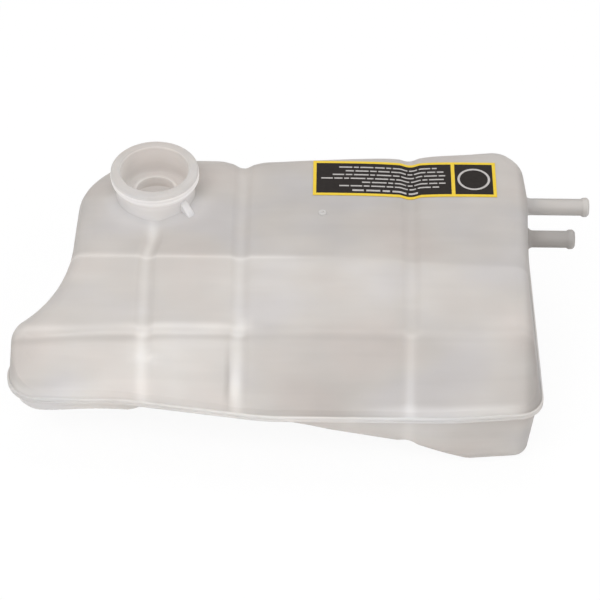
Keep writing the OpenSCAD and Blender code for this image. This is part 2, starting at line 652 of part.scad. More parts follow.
// A baffle stands across the shell at a groove, with a wide gap at the seam that has two round corners
gap_r = 6;
gap_ahead = 14.5;
gap_y = neck[1] - gap_ahead;
air_gap = 3;
module gap_form() {
    deep = baffle_t + 2 * overlap;
    translate([gap_y, 0, -overlap]) {
        translate([-flow_w / 2, -overlap, 0]) cube([flow_w, flow_h - gap_r + overlap, deep]);
        translate([gap_r - flow_w / 2, -overlap, 0]) cube([flow_w - 2 * gap_r, flow_h + overlap, deep]);
        for (side = [-1, 1])
            translate([side * (flow_w / 2 - gap_r), flow_h - gap_r, 0]) cylinder(h = deep, r = gap_r);
    }
}
module baffle(x, outline) {
    translate([x - baffle_t / 2, 0, 0]) rotate([90, 0, 90]) difference() {
        linear_extrude(baffle_t) polygon(outline);
        gap_form();
    }
}
module upper_baffle(g) {
    outline = baffle_outline(upper_grid, upper_z, upper_inner_z, column_at(g), roof_inset - lip);
    difference() {
        baffle(grooves[g], outline);
        translate([grooves[g], gap_y - flow_w / 2, roof_h - wall - air_gap - air_d / 2])
            rotate([0, 90, 0]) cylinder(h = baffle_t + 2 * overlap, d = air_d, center = true);
    }
}
module lower_baffle(g) {
    outline = baffle_outline(lower_grid, lower_z, lower_inner_z, column_at(g), lower_draft + bottom_r);
    mirror([0, 0, 1]) baffle(grooves[g], outline);
}

// Raised mark that the moulding gate leaves on the roof
gate_d = 5;
gate_h = 0.6;
gate_aside = 1.75;
gate_ahead = 16;
gate = [(grooves[1] + grooves[2]) / 2 - gate_aside, front + label_front - gate_ahead];
module gate_mark() {
    translate([gate[0], gate[1], foot_z])
        cylinder(h = roof_h - foot_z + swell + gate_h, d = gate_d, $fn = 24);
}

module upper_shell() {
    color(shell_colour) translate([0, 0, seam_h]) difference() {
        union() {
            upper_skin();
            neck_outer();
            stop_rib();
            small_spigots();
            gate_mark();
            for (g = [1, 2])
                upper_baffle(g);
            intersection() {
                upper_baffle(0);
                translate([left, front, -overlap])
                    cube([body_l, neck_y - mouth_d / 2 - under_step, neck_top]);
            }
        }
        neck_hollow();
        small_bores();
    }
}

outlet = inside(lookup(right - outlet_x, back_table), lower_root + lower_draft / 2);
module lower_shell() {
    color(shell_colour) translate([0, 0, seam_h]) difference() {
        union() {
            lower_skin();
            for (g = [0, 1, 2])
                lower_baffle(g);
            translate([outlet[0], outlet[1] - wall / 2, -outlet_drop]) rotate([0, 0, 90])
                spigot(back + outlet_l - outlet[1] + wall / 2, outlet_d, wall + 2);
        }
        translate([outlet[0], outlet[1] - 3 * wall, -outlet_drop]) rotate([-90, 0, 0])
            cylinder(h = outlet_l + body_d, d = outlet_bore);
    }
}

// Sticker: a thin sheet that follows the roof across the third groove
label_x = [right - label_right - label_l, right - label_right];
label_y = [front + label_front, front + label_front + label_w];
roof_z = [for (c = [0:col_n - 1]) [col_x[c], upper_z[c][upper_n - 2]]];
function column_x(c, y) = let (p = upper_grid[c][0], q = upper_grid[c][upper_n - 1])
    mix(p[0], q[0], (y - p[1]) / (q[1] - p[1]));
function label_line(y) =
    let (xs = [for (c = [first:col_n - 1]) [column_x(c, y), roof_z[c][1]]])
    concat(
        [[label_x[0], y, lookup(label_x[0], xs)]],
        [for (p = xs) if (p[0] > label_x[0] + probe && p[0] < label_x[1] - probe) [p[0], y, p[1]]],
        [[label_x[1], y, lookup(label_x[1], xs)]]
    );
module label() {
    lines = [for (y = label_y) label_line(y)];
    n = len(lines[0]);
    points = [for (h = [sticker_gap, sticker_gap + label_t]) for (line = lines) for (p = line)
        p + [0, 0, h]];
    faces = concat(
        [for (k = [0:n - 2]) each [[k, k + 1, k + n + 1], [k, k + n + 1, k + n]]],
        [for (k = [0:n - 2]) let (t = k + 2 * n)
            each [[t, t + n + 1, t + 1], [t, t + n, t + n + 1]]],
        [for (k = [0:n - 2]) let (t = k + 2 * n) each [[k, t, t + 1], [k, t + 1, k + 1]]],
        [for (k = [n:2 * n - 2]) let (t = k + 2 * n) each [[k, t + 1, t], [k, k + 1, t + 1]]],
        [[0, n, 3 * n], [0, 3 * n, 2 * n]],
        [[n - 1, 3 * n - 1, 4 * n - 1], [n - 1, 4 * n - 1, 2 * n - 1]]
    );
    color(sticker_colour) translate([0, 0, seam_h]) polyhedron(points, faces, convexity = 4);
}

upper_shell();
lower_shell();
label();
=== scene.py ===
"""Looks of the coolant expansion tank: two fine moulded shells, a plain sticker, studio and camera."""
import math

import bpy
import numpy as np
from mathutils import Matrix, Vector
from mathutils.bvhtree import BVHTree


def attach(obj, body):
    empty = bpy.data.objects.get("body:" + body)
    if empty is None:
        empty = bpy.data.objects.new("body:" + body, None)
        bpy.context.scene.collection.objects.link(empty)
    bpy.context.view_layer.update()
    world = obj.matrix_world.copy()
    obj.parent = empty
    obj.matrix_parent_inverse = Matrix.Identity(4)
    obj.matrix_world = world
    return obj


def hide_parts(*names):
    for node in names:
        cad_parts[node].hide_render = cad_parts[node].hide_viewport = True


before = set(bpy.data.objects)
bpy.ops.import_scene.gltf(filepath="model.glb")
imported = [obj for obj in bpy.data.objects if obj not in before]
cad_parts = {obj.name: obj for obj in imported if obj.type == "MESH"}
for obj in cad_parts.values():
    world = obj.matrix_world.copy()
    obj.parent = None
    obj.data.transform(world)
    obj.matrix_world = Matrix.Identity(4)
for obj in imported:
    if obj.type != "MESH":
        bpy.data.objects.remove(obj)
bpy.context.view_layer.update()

MM = 0.001

# Sizes of the tank, in millimetres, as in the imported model
BODY_L, BODY_D = 319.0, 188.0
FRONT_STEP, FRONT_FALL, BACK_TAPER = 12.5, 5.5, 11.5
WING_L, WING_LEAN, WING_D, WING_ROOT = 32.0, 2.5, 31.0, 53.0
WING_R, WING_FRONT_R, WING_TUCK = 18.0, 21.0, 0.08
CORNER_R, BACK_CORNER_R, NECK_CORNER_R, NOTCH_R, SOFT_R = 16.0, 25.0, 53.0, 46.0, 150.0
WING_KNEE, MID_KNEE, SUMP_KNEE, BACK_KNEE, END_LEAN, NECK_WALL_LEAN = 12.0, 16.0, 23.0, 20.0, 3.0, 1.5
SEAM_H, ROOF_H, FOLD_H = 45.0, 58.0, 40.0
FOLD_FRONT, FOLD_BACK, FOLD_DRIFT, WING_DIP, FOLD_SOFT = 33.0, 80.0, 8.0, 6.0, 3.0
WALL, LIP, LIP_T, EDGE_R = 2.6, 1.4, 2.0, 8.5
DRAFT, BACK_DRAFT, END_DRAFT, END_DRAFT_BACK = 4.5, 6.5, 7.5, 3.0
LOWER_STEP, LOWER_DRAFT, BOTTOM_R = 2.0, 3.5, 8.5
GROOVE_W, GROOVE_SOFT, GROOVE_D, GROOVE_BEND, SWELL = 13.0, 1.0, 1.7, 3.5, 1.6
SUMP_GROOVE, MIDDLE_NOTCH, SUMP_NOTCH = 0.8, 1.7, 0.5  # shares of the groove's depth
GROOVE_RIM, NOTCH_W, CORNER_ROOM = 0.6, 1.1 * GROOVE_W, 10.0
CHINE_WING, CHINE_MID, CHINE_GROOVE, WING_DROP, RAMP = 17.5, 10.0, 29.5, 24.0, 0.85
NECK_H, NECK_D, MOUTH_D, MOUTH_DEPTH = 22.0, 53.0, 41.0, 19.0
THROAT_D, THROAT_LIP, THROAT_WALL, COLLAR_D, STOP_T = 23.0, 2.5, 2.2, 51.0, 5.0
STEM_D, RIM_L, RIM_SLOPE, FLOOR_DRAFT, UNDER_STEP = 46.5, 7.5, 3.5, 0.8, 2.0
SPIGOT_D, SPIGOT_BORE, SPIGOT_LONG, SPIGOT_SHORT = 10.5, 6.5, 34.0, 23.0
SPIGOT_BACK, SPIGOT_PITCH, SPIGOT_H = 30.5, 30.0, 30.0
OUTLET_D, OUTLET_BORE, OUTLET_L, OUTLET_X, OUTLET_DROP, BEAD = 20.0, 15.0, 26.0, 60.0, 24.0, 0.8
LABEL_L, LABEL_W, LABEL_T, LABEL_RIGHT, LABEL_FRONT = 112.0, 32.0, 0.35, 26.0, 132.0
LABEL_GAP, BORDER, DIVIDER, SHEET_STEP = 0.08, 2.0, (84.6, 86.8), 1.5
RING_R, RING_LIFT, RING_N = (8.6, 10.0), 0.03, 48

# Lengths over which grooves, folds and walls run out: a lead is how far before its mark one begins
GROOVE_END, GROOVE_FADE, FOOT_RISE, FOOT_L = 15.5, 14.0, 1.6, 7.5
BEND_LEAD, BEND_L, BEND_SIDE = 6.0, 22.0, 30.0
DIP_LEAD, DIP_L, DIP_POWER, DRIFT_L = 15.0, 97.0, 1.5, 120.0
DROP_LEAD, DROP_L, CORNER_BLEND, SWELL_T = 8.0, 30.0, 40.0, 0.2
CHINE_HALF, CHINE_FLAT, CHINE_MIDWAY, SUMP_L = 8.0, 20.0, 55.0, 36.0
FRONT_SHARE, ROUND_SHARE = 0.3, 0.6  # shares of the draft in front and of the wall's height

LEFT = -(BODY_L + SPIGOT_LONG) / 2
RIGHT = LEFT + BODY_L
FRONT = -(BODY_D + OUTLET_L) / 2
BACK = FRONT + BODY_D
NECK = np.array([LEFT + 85.5, FRONT + 131.5])
GROOVES = [LEFT + 82.0, LEFT + 138.0, RIGHT - 79.5]
NECK_WALL_X = LEFT + WING_L
stem_r = STEM_D / 2

ARC_N = 24
LEFT_N, RIGHT_N = 18, 8
PANEL_STEP = 3.0
PROBE = 1.5


def smooth(t):
    c = np.clip(t, 0, 1)
    return c * c * (3 - 2 * c)


def rise(v, begin, length):
    """0 up to a place, 1 from a length beyond it, and smooth between them."""
    return smooth((v - begin) / length)


def fall(v, begin, length):
    return 1 - rise(v, begin, length)


def mix(a, b, t):
    return a + (b - a) * t


def soft_min(a, b, k):
    h = np.maximum(k - np.abs(a - b), 0) / k
    return np.minimum(a, b) - h * h * k / 4


# Plan outline as a curve of its own length
CORNERS = [
    (LEFT + WING_LEAN, FRONT + FRONT_STEP, WING_FRONT_R),
    (GROOVES[0] - WING_KNEE, FRONT + FRONT_STEP, SOFT_R),
    (GROOVES[1] + MID_KNEE, FRONT, SOFT_R),
    (GROOVES[2] + SUMP_KNEE, FRONT, SOFT_R),
    (RIGHT, FRONT + FRONT_FALL, CORNER_R),
    (RIGHT - END_LEAN, BACK, BACK_CORNER_R),
    (GROOVES[1] + BACK_KNEE, BACK - BACK_TAPER, SOFT_R),
    (NECK_WALL_X + NECK_WALL_LEAN, BACK - BACK_TAPER, NECK_CORNER_R),
    (NECK_WALL_X, FRONT + FRONT_STEP + WING_ROOT, NOTCH_R),
    (LEFT - WING_LEAN / 5 + WING_TUCK, FRONT + FRONT_STEP + WING_D, WING_R),
]
FRONT_RIGHT, BACK_RIGHT, BACK_LEFT = 4, 5, 7


def corner_arc(k):
    here = np.array(CORNERS[k][:2])
    came = here - np.array(CORNERS[k - 1][:2])
    goes = np.array(CORNERS[(k + 1) % len(CORNERS)][:2]) - here
    came, goes = came / np.linalg.norm(came), goes / np.linalg.norm(goes)
    turn = math.atan2(came[0] * goes[1] - came[1] * goes[0], came @ goes)
    r = CORNERS[k][2]
    begin = here - came * r * math.tan(abs(turn) / 2)
    hub = begin + math.copysign(r, turn) * np.array([-came[1], came[0]])
    a = turn * np.arange(ARC_N + 1) / ARC_N
    spoke = begin - hub
    return hub + np.stack([spoke[0] * np.cos(a) - spoke[1] * np.sin(a),
                           spoke[0] * np.sin(a) + spoke[1] * np.cos(a)], 1)


arcs = [corner_arc(k) for k in range(len(CORNERS))]
HALF = ARC_N // 2
outline = np.concatenate([arcs[0][HALF:]] + arcs[1:] + [arcs[0][:HALF + 1]])
run = np.concatenate([[0], np.cumsum(np.linalg.norm(np.diff(outline, axis=0), axis=1))])
ROUND = run[-1]


def corner_index(k):
    """Where the middle of a rounded corner stands in the outline."""
    return 0 if k == 0 else HALF + 1 + (k - 1) * (ARC_N + 1) + HALF


def on_line(s):
    """Place in plan at a length along the outline."""
    s = np.mod(s, ROUND)
    return np.stack([np.interp(s, run, outline[:, 0]), np.interp(s, run, outline[:, 1])], -1)


def inward(s):
    t = on_line(s + PROBE) - on_line(s - PROBE)
    t = t / np.linalg.norm(t, axis=-1, keepdims=True)
    return np.stack([-t[..., 1], t[..., 0]], -1)


def inside(s, d):
    """Place at a length along the outline and a distance inside it."""
    return on_line(s) + np.asarray(d)[..., None] * inward(s)


def side_table(axis, corner, next_corner):
    """Lengths along one side of the outline by their X or Y."""
    begin, end = corner_index(corner), corner_index(next_corner)
    keys, values = outline[begin:end + 1, axis], run[begin:end + 1]
    order = np.argsort(keys, kind="stable")
    return keys[order], values[order]


def look(x, table):
    return np.interp(x, *table)


front_table = side_table(0, 0, FRONT_RIGHT)
right_table = side_table(1, FRONT_RIGHT, BACK_RIGHT)
back_table = side_table(0, BACK_RIGHT, BACK_LEFT)
left_table = side_table(1, BACK_LEFT, len(CORNERS))
corner_s = [run[corner_index(k)] for k in range(len(CORNERS))]
front_ends = (on_line(0.0)[0], on_line(corner_s[FRONT_RIGHT])[0])
back_ends = (on_line(corner_s[BACK_LEFT])[0], on_line(corner_s[BACK_RIGHT])[0])

# Columns: shares of the way to each end, and straight ones from groove to groove
half_w = GROOVE_W / 2
half_cols = np.array([0.08, 0.2, 0.29, 0.36, 0.43, 0.5])
groove_cols = np.concatenate([-half_cols[::-1], half_cols]) * GROOVE_W


def between(a, b):
    n = max(2, round((b - a) / PANEL_STEP))
    return np.linspace(a, b, n + 1)[1:-1]


straight_end = RIGHT - BACK_CORNER_R - CORNER_ROOM
middle_x = np.concatenate([
    GROOVES[0] + groove_cols, between(GROOVES[0] + half_w, GROOVES[1] - half_w),
    GROOVES[1] + groove_cols, between(GROOVES[1] + half_w, GROOVES[2] - half_w),
    GROOVES[2] + groove_cols, between(GROOVES[2] + half_w, straight_end), [straight_end]])
left_cols = np.arange(LEFT_N) / LEFT_N
right_cols = (np.arange(RIGHT_N) + 1) / RIGHT_N
first, last = LEFT_N, LEFT_N + len(middle_x) - 1
COLS = last + 1 + RIGHT_N


def side_x(ends):
    return np.concatenate([mix(ends[0], middle_x[0], left_cols), middle_x,
                           mix(straight_end, ends[1], right_cols)])


col_x = side_x(front_ends)
back_x = side_x(back_ends)


def groove_shape(x, g):
    return fall(np.abs(x - g), GROOVE_SOFT, half_w - GROOVE_SOFT + GROOVE_RIM)


panel_edges = np.array([LEFT] + GROOVES + [RIGHT])


def swell_at(x):
    """Share of the roof's swell: full between two grooves and none at them."""
    k = np.clip(np.searchsorted(panel_edges, x, side="right") - 1, 0, len(panel_edges) - 2)
    t = np.clip((x - panel_edges[k]) / (panel_edges[k + 1] - panel_edges[k]), 0, 1)
    return 1 - np.abs(2 * t - 1) ** 3


def notch_shape(x, g):
    return fall(np.abs(x - g), GROOVE_SOFT, NOTCH_W)


back_notch = GROOVE_D * np.maximum(MIDDLE_NOTCH * notch_shape(back_x, GROOVES[1]),
                                   SUMP_NOTCH * notch_shape(back_x, GROOVES[2]))


# Roof as a function of its place in plan
front_line = np.concatenate([[[LEFT - 1, FRONT + FRONT_STEP]],
                             outline[HALF:corner_index(FRONT_RIGHT) - HALF + 1],
                             [[RIGHT, FRONT + FRONT_FALL]]])


def front_y(x):
    return np.interp(x, front_line[:, 0], front_line[:, 1])


def fold_z(x):
    return FOLD_H - WING_DIP * np.clip((GROOVES[0] + DIP_LEAD - x) / DIP_L, 0, 1) ** DIP_POWER


def fold_back_y(x):
    return FRONT + FOLD_BACK - FOLD_DRIFT * rise(x, GROOVES[2] - DRIFT_L / 2, DRIFT_L)


def front_slope(x):
    return (fold_z(x) - LIP_T) / (FRONT + FOLD_FRONT - front_y(x))


def back_slope(x):
    return (ROOF_H - fold_z(x)) / (fold_back_y(x) - FRONT - FOLD_FRONT)


def front_plane(x, y):
    return LIP_T + (y - front_y(x)) * front_slope(x)


def roof_at(x, y):
    back_plane = fold_z(x) + (y - FRONT - FOLD_FRONT) * back_slope(x)
    return soft_min(ROOF_H, soft_min(front_plane(x, y), back_plane, FOLD_SOFT), FOLD_SOFT)


def groove_depth(x, y):
    """Depth of the grooves: the first one fades before it reaches the neck."""
    fade = fall(y, NECK[1] - COLLAR_D / 2 - GROOVE_END, GROOVE_FADE)
    whole = np.maximum(groove_shape(x, GROOVES[1]), SUMP_GROOVE * groove_shape(x, GROOVES[2]))
    return GROOVE_D * np.maximum(whole, groove_shape(x, GROOVES[0]) * fade)


def bend_at(x, y):
    """How far the first groove and the columns beside it lean towards the neck."""
    return (GROOVE_BEND * rise(y, fold_back_y(x) - BEND_LEAD, BEND_L)
            * fall(np.abs(x - GROOVES[0]), half_w, BEND_SIDE))


# Rows and the plan grid of a shell
class Rows:
    """Rows of a shell: their band, share of the band and distance behind the front edge."""

    def __init__(self, bands, stops):
        self.band = np.concatenate([[k] * len(b) for k, b in enumerate(bands)])
        self.t = np.concatenate(bands)
        self.d = self.along(stops)
        self.n = len(self.d)

    def along(self, stops):
        stops = np.array(stops)
        return mix(stops[self.band], stops[self.band + 1], self.t)


def edge_runs(rows, folds):
    """Lengths along the outline where the columns and rows of a shell end, side by side."""
    left_s = [look(f(LEFT), left_table) for f in folds]
    right_s = [look(f(RIGHT), right_table) for f in folds]
    return [look(col_x, front_table),
            rows.along([corner_s[FRONT_RIGHT]] + right_s + [corner_s[BACK_RIGHT]]),
            look(back_x, back_table),
            rows.along([ROUND] + left_s + [corner_s[BACK_LEFT]])]


def plan_grid(rows, folds, runs, insets):
    """Plan of a shell's grid: straight columns in the middle and blended ones at both ends."""
    f, r = inside(runs[0], insets[0]), inside(runs[1], insets[1])
    b, l = inside(runs[2], insets[2] + back_notch), inside(runs[3], insets[3])
    grid = np.zeros((COLS, rows.n, 2))
    v = (rows.d - rows.d[0]) / (rows.d[-1] - rows.d[0])
    for c in range(first, last + 1):
        y = rows.along([f[c, 1]] + [g(f[c, 0]) for g in folds] + [b[c, 1]])
        x = mix(f[c, 0], b[c, 0], (y - f[c, 1]) / (b[c, 1] - f[c, 1]))
        grid[c] = np.stack([x + bend_at(f[c, 0], y), y], 1)

    def patch(p, q, t, c, c0, c1):
        front_off = f[c] - mix(f[c0], f[c1], t)
        back_off = b[c] - mix(b[c0], b[c1], t)
        return mix(p, q, t) + (1 - v)[:, None] * front_off + v[:, None] * back_off

    for c in range(first):
        grid[c] = patch(l, grid[first], left_cols[c], c, 0, first)
    for c in range(last + 1, COLS):
        grid[c] = patch(grid[last], r, right_cols[c - last - 1], c, last, COLS - 1)
    return grid


def edge_loop(n):
    """Column and row of each point round the rim of a grid."""
    return np.array([(c, 0) for c in range(COLS - 1)] + [(COLS - 1, k) for k in range(n - 1)]
                    + [(c, n - 1) for c in range(COLS - 1, 0, -1)] + [(0, k) for k in range(n - 1, 0, -1)])


def loop_of(sides):
    """Values of the four sides joined once round."""
    return np.concatenate([sides[0][:-1], sides[1][:-1], sides[2][:0:-1], sides[3][:0:-1]])


# Meshes: every point carries its place, a tone that holds painted light and shade, and a painted glow
# Painted glow: emission strengths for the inner skins, the baffles and the stop rib, standing in for light
# let through the walls
INNER_GLOW, BAFFLE_GLOW, RIB_GLOW, SHARP = 0.66, 0.4, 0.12, 35


def new_mesh(name, points, faces):
    """A mesh from points in millimetres."""
    mesh = bpy.data.meshes.new(name)
    mesh.from_pydata((np.asarray(points) * MM).tolist(), [], faces)
    mesh.update()
    return mesh


def in_scene(name, data, *materials):
    """An object of the scene from its mesh, lamp or lens."""
    thing = bpy.data.objects.new(name, data)
    bpy.context.scene.collection.objects.link(thing)
    for material in materials:
        data.materials.append(material)
    return thing


class Skin:
    """Points and faces of one piece, with a tone that holds painted light and shade, and a painted glow
    that stands in for light let through, for each point.
    """

    def __init__(self):
        self.points, self.faces, self.tones, self.glows, self.count = [], [], [], [], 0

    def add(self, points, faces, tone, glow=0.0):
        points = np.asarray(points, float).reshape(-1, 3)
        self.points.append(points)
        for values, value in ((self.tones, tone), (self.glows, glow)):
            values.append(np.broadcast_to(np.asarray(value, float).ravel(), (len(points),)))
        self.faces.extend([tuple(int(i) + self.count for i in face) for face in faces])
        self.count += len(points)

    def build(self, name, material):
        mesh = new_mesh(name, np.concatenate(self.points), self.faces)
        for label, values in (("tone", self.tones), ("glow", self.glows)):
            field = mesh.attributes.new(label, "FLOAT", "POINT")
            field.data.foreach_set("value", np.concatenate(values).astype(np.float32))
        mesh.polygons.foreach_set("use_smooth", [True] * len(mesh.polygons))
        mesh.set_sharp_from_angle(angle=math.radians(SHARP))
        return in_scene(name, mesh, material)


def grid_quads(cols, rows, skip=None, flip=False):
    out = []
    for c in range(cols - 1):
        for k in range(rows - 1):
            if skip is not None and skip[c, k]:
                continue
            p = c * rows + k
            quad = (p, p + rows, p + rows + 1, p + 1)
            out.append(quad[::-1] if flip else quad)
    return out


def ring_quads(rings, m, skip=None, flip=False):
    out = []
    for a in range(rings - 1):
        for k in range(m):
            if skip is not None and skip[a, k]:
                continue
            n = (k + 1) % m
            quad = (a * m + k, a * m + n, (a + 1) * m + n, (a + 1) * m + k)
            out.append(quad[::-1] if flip else quad)
    return out


def near_holes(points, holes):
    """Which quad centres of a point grid lie inside one of the round holes (centre, axis, radius)."""
    out = np.zeros(points.shape[:-1], bool)
    for centre, axis, radius in holes:
        axis = np.array(axis)
        off = points - centre
        along = off @ axis
        aside = np.linalg.norm(off - along[..., None] * axis, axis=-1)
        out |= (aside < radius) & (np.abs(along) < HOLE_REACH)
    return out


def centres(grid, around):
    """Middles of the quads of a point grid, which closes on itself where it goes around."""
    beside = np.roll(grid, -1, axis=1)
    middles = (grid[:-1] + grid[1:] + beside[:-1] + beside[1:]) / 4
    return middles if around else middles[:, :-1]


def raised(plan, z):
    return np.concatenate([plan, np.asarray(z, float)[..., None]], -1)


# Upper shell
front_lean = FRONT_SHARE * DRAFT
roof_inset = LIP + front_lean + EDGE_R
roof_end = BODY_D - LIP - BACK_DRAFT - EDGE_R
FRONT_T = [0, 0.14, 0.28, 0.42, 0.55, 0.67, 0.76, 0.82, 0.87, 0.91, 0.94, 0.97]
MIDDLE_T = [0, 0.015, 0.03, 0.05, 0.07, 0.09, 0.12, 0.16, 0.21, 0.27, 0.34, 0.42, 0.50, 0.58, 0.66, 0.74,
            0.81, 0.87, 0.91, 0.94, 0.965, 0.985]
ROOF_T = np.concatenate([[0, 0.012, 0.025, 0.04, 0.06, 0.09, 0.125], np.linspace(0.165, 1, 22)])
upper_rows = Rows([FRONT_T, MIDDLE_T, ROOF_T], [roof_inset, FOLD_FRONT, FOLD_BACK, roof_end])
upper_folds = [lambda x: FRONT + FOLD_FRONT, fold_back_y]


def row_lean(high, far):
    """Lean of an end wall row by row: it meets the back wall's lean half way at the corner."""
    corner = rise(upper_rows.d, roof_end - CORNER_BLEND, CORNER_BLEND)
    lean = np.interp(upper_rows.d, [roof_inset, FOLD_FRONT, FOLD_BACK, (FOLD_BACK + BODY_D) / 2],
                     [front_lean, high * FOLD_H / ROOF_H, high, far])
    return mix(lean, (far + BACK_DRAFT) / 2, corner)


def back_lean(x):
    to_left = fall(x, back_ends[0], CORNER_BLEND)
    to_right = rise(x, back_ends[1] - CORNER_BLEND, CORNER_BLEND)
    return BACK_DRAFT - (BACK_DRAFT - DRAFT) / 2 * to_left - (BACK_DRAFT - END_DRAFT_BACK) / 2 * to_right


upper_lean = [np.full(COLS, front_lean), row_lean(END_DRAFT, END_DRAFT_BACK),
              back_lean(back_x), row_lean(DRAFT, DRAFT)]
upper_runs = edge_runs(upper_rows, upper_folds)
upper_grid = plan_grid(upper_rows, upper_folds, upper_runs, [v + LIP + EDGE_R for v in upper_lean])


def hump(t):
    return 4 * t * (1 - t)


row_swell = np.where(upper_rows.band == 2, smooth(upper_rows.t / SWELL_T),
                     np.where(upper_rows.band == 1, hump(upper_rows.t),
                              hump((upper_rows.d - LIP) / (FOLD_FRONT - LIP))))
gx, gy = upper_grid[..., 0], upper_grid[..., 1]
upper_detail = SWELL * swell_at(col_x)[:, None] * row_swell - groove_depth(col_x[:, None], gy)
neck_way = np.hypot(gx - NECK[0], gy - NECK[1])
inner_base = roof_at(gx, gy) + upper_detail
upper_z = inner_base + FOOT_RISE * fall(neck_way, stem_r + 0.5, FOOT_L)


def upright(slope):
    """Height that the wall takes up where it slopes."""
    return WALL * np.sqrt(1 + slope * slope)


sloped_wall = np.where(upper_rows.band == 0, upright(front_slope(gx)),
                       np.where(upper_rows.band == 1, upright(back_slope(gx)), WALL))
upper_inner_z = inner_base - sloped_wall


def at_edge(values, loop):
    return values[loop[:, 0], loop[:, 1]]


def level_ring(s, d, z, notch=0.0):
    """A ring at one height and distance inside the outline, with a share of the notches at the back."""
    return raised(inside(s, d + FOOT_NOTCH * notch), np.full(len(s), z))


upper_loop = edge_loop(upper_rows.n)
upper_s, upper_in = loop_of(upper_runs), loop_of(upper_lean)
upper_notch = np.where(upper_loop[:, 1] == upper_rows.n - 1, back_notch[upper_loop[:, 0]], 0)
edge_z = at_edge(upper_z, upper_loop)
edge_detail = at_edge(upper_detail, upper_loop)
RING_SOFT, FOOT_NOTCH, FOOT_UP, LEDGE, LOWEST = 2.0, 0.3, 0.3, 0.5, 1.0


def round_drop(z, r):
    """Height of the rounding between wall and roof: less where the shell is low."""
    return np.minimum(r, ROUND_SHARE * (z - LIP_T))


def upper_ring(d, cut, sink=0.0):
    plan = inside(upper_s, d + upper_in + upper_notch)
    top = edge_z - cut * round_drop(edge_z, EDGE_R)
    slope = (front_plane(plan[:, 0], plan[:, 1]) + edge_detail * math.sqrt(d / (LIP + EDGE_R))
             - sink * upright(front_slope(plan[:, 0])))
    return raised(plan, np.maximum(LOWEST, soft_min(top, slope, RING_SOFT)))


def wall_rings(low, high):
    """Rings that climb evenly from one ring to another."""
    t = np.linspace(0, 1, WALL_N + 2)[1:-1]
    return [low + (high - low) * v for v in t]


# Profile of the flange from the parting line out and up: inset and share of its thickness
FLANGE = [(0.75, 0.0), (0.3, 0.06), (0.06, 0.2), (0.0, 0.4), (0.04, 0.75), (0.3, 0.94), (0.7, 1.0)]
ROUND_STEPS = 8
WALL_N = 12

# Radii of the openings, and how far along its axis one reaches from its centre
SPIGOT_HOLE, STEM_HOLE, OUTLET_HOLE, HOLE_REACH = 4.6, 21.5, 9.0, 70.0


def outer_rings(s, feet, ring, root, r, last):
    """Rings of a shell's outside, from the parting line over the flange and the wall to its grid."""
    top_ring = ring(root, 1)
    arc = np.linspace(0, math.pi / 2, ROUND_STEPS + 1)[1:-1]
    rounding = [ring(root + r * (1 - math.cos(a)), 1 - math.sin(a)) for a in arc]
    flange = [level_ring(s, d, t * LIP_T) for d, t in FLANGE]
    return np.array(flange + feet + wall_rings(feet[-1], top_ring) + [top_ring] + rounding + [last])


def inner_rings(low, high, last):
    return np.array([low] + wall_rings(low, high) + [high, last])


spigot_y = [BACK - SPIGOT_BACK - k * SPIGOT_PITCH for k in (0, 1)]
spigot_holes = [((RIGHT, y, SPIGOT_H), (1, 0, 0), SPIGOT_HOLE) for y in spigot_y]
stem_hole = [((*NECK, 0), (0, 0, 1), STEM_HOLE)]
upper_foot = level_ring(upper_s, LIP, LIP_T + FOOT_UP, upper_notch)
edge_plan = at_edge(upper_grid, upper_loop)
rings = outer_rings(upper_s, [upper_foot], upper_ring, LIP, EDGE_R, raised(edge_plan, edge_z))


def bump(v, centre, half):
    """A soft hill of height 1 round a centre."""
    return np.exp(-((v - centre) / half) ** 2)


# Painted light and shade by place along X: the lit steep front, a highlight over the lower fold and a shade
# line under it, a highlight on the flange and on the band over it, and the light and shade of the lower
# shell
FRONT_LIGHT_AND_SHADE = ([-176, -168, -150, -110, -74, -48, -25, 9, 60, 103, 125, 140],
              [0.05, 0.25, 0.4, 0.5, 0.8, 0.5, 0.05, -0.3, -0.25, 0.0, -0.2, -0.8])
FOLD_PAINTED_LIGHT = ([-176, -150, -110, -88, -50, -36, -20, 140], [0.2, 0.5, 0.3, 0.9, 0.8, 0.4, -0.15, -0.2])
FOLD_PAINTED_SHADE = ([-176, -150, -90, -45, -30, 140], [-0.3, -0.55, -0.6, -0.5, -0.25, -0.1])
FLANGE_HIGHLIGHT = ([-170, -110, -60, 20, 120], [0.7, 0.9, 1.4, 1.4, 0.7])
FOOT_HIGHLIGHT = ([-140, -80, 20, 60, 120, 140], [0.4, 0.0, 0.0, 0.8, 0.9, 0.2])
LOWER_PAINTED_LIGHT = ([-160, -125, -105, -60, 20, 60, 90, 140], [1.1, 1.2, 0.6, 0.4, 0.6, 0.4, 0.2, 0.0])


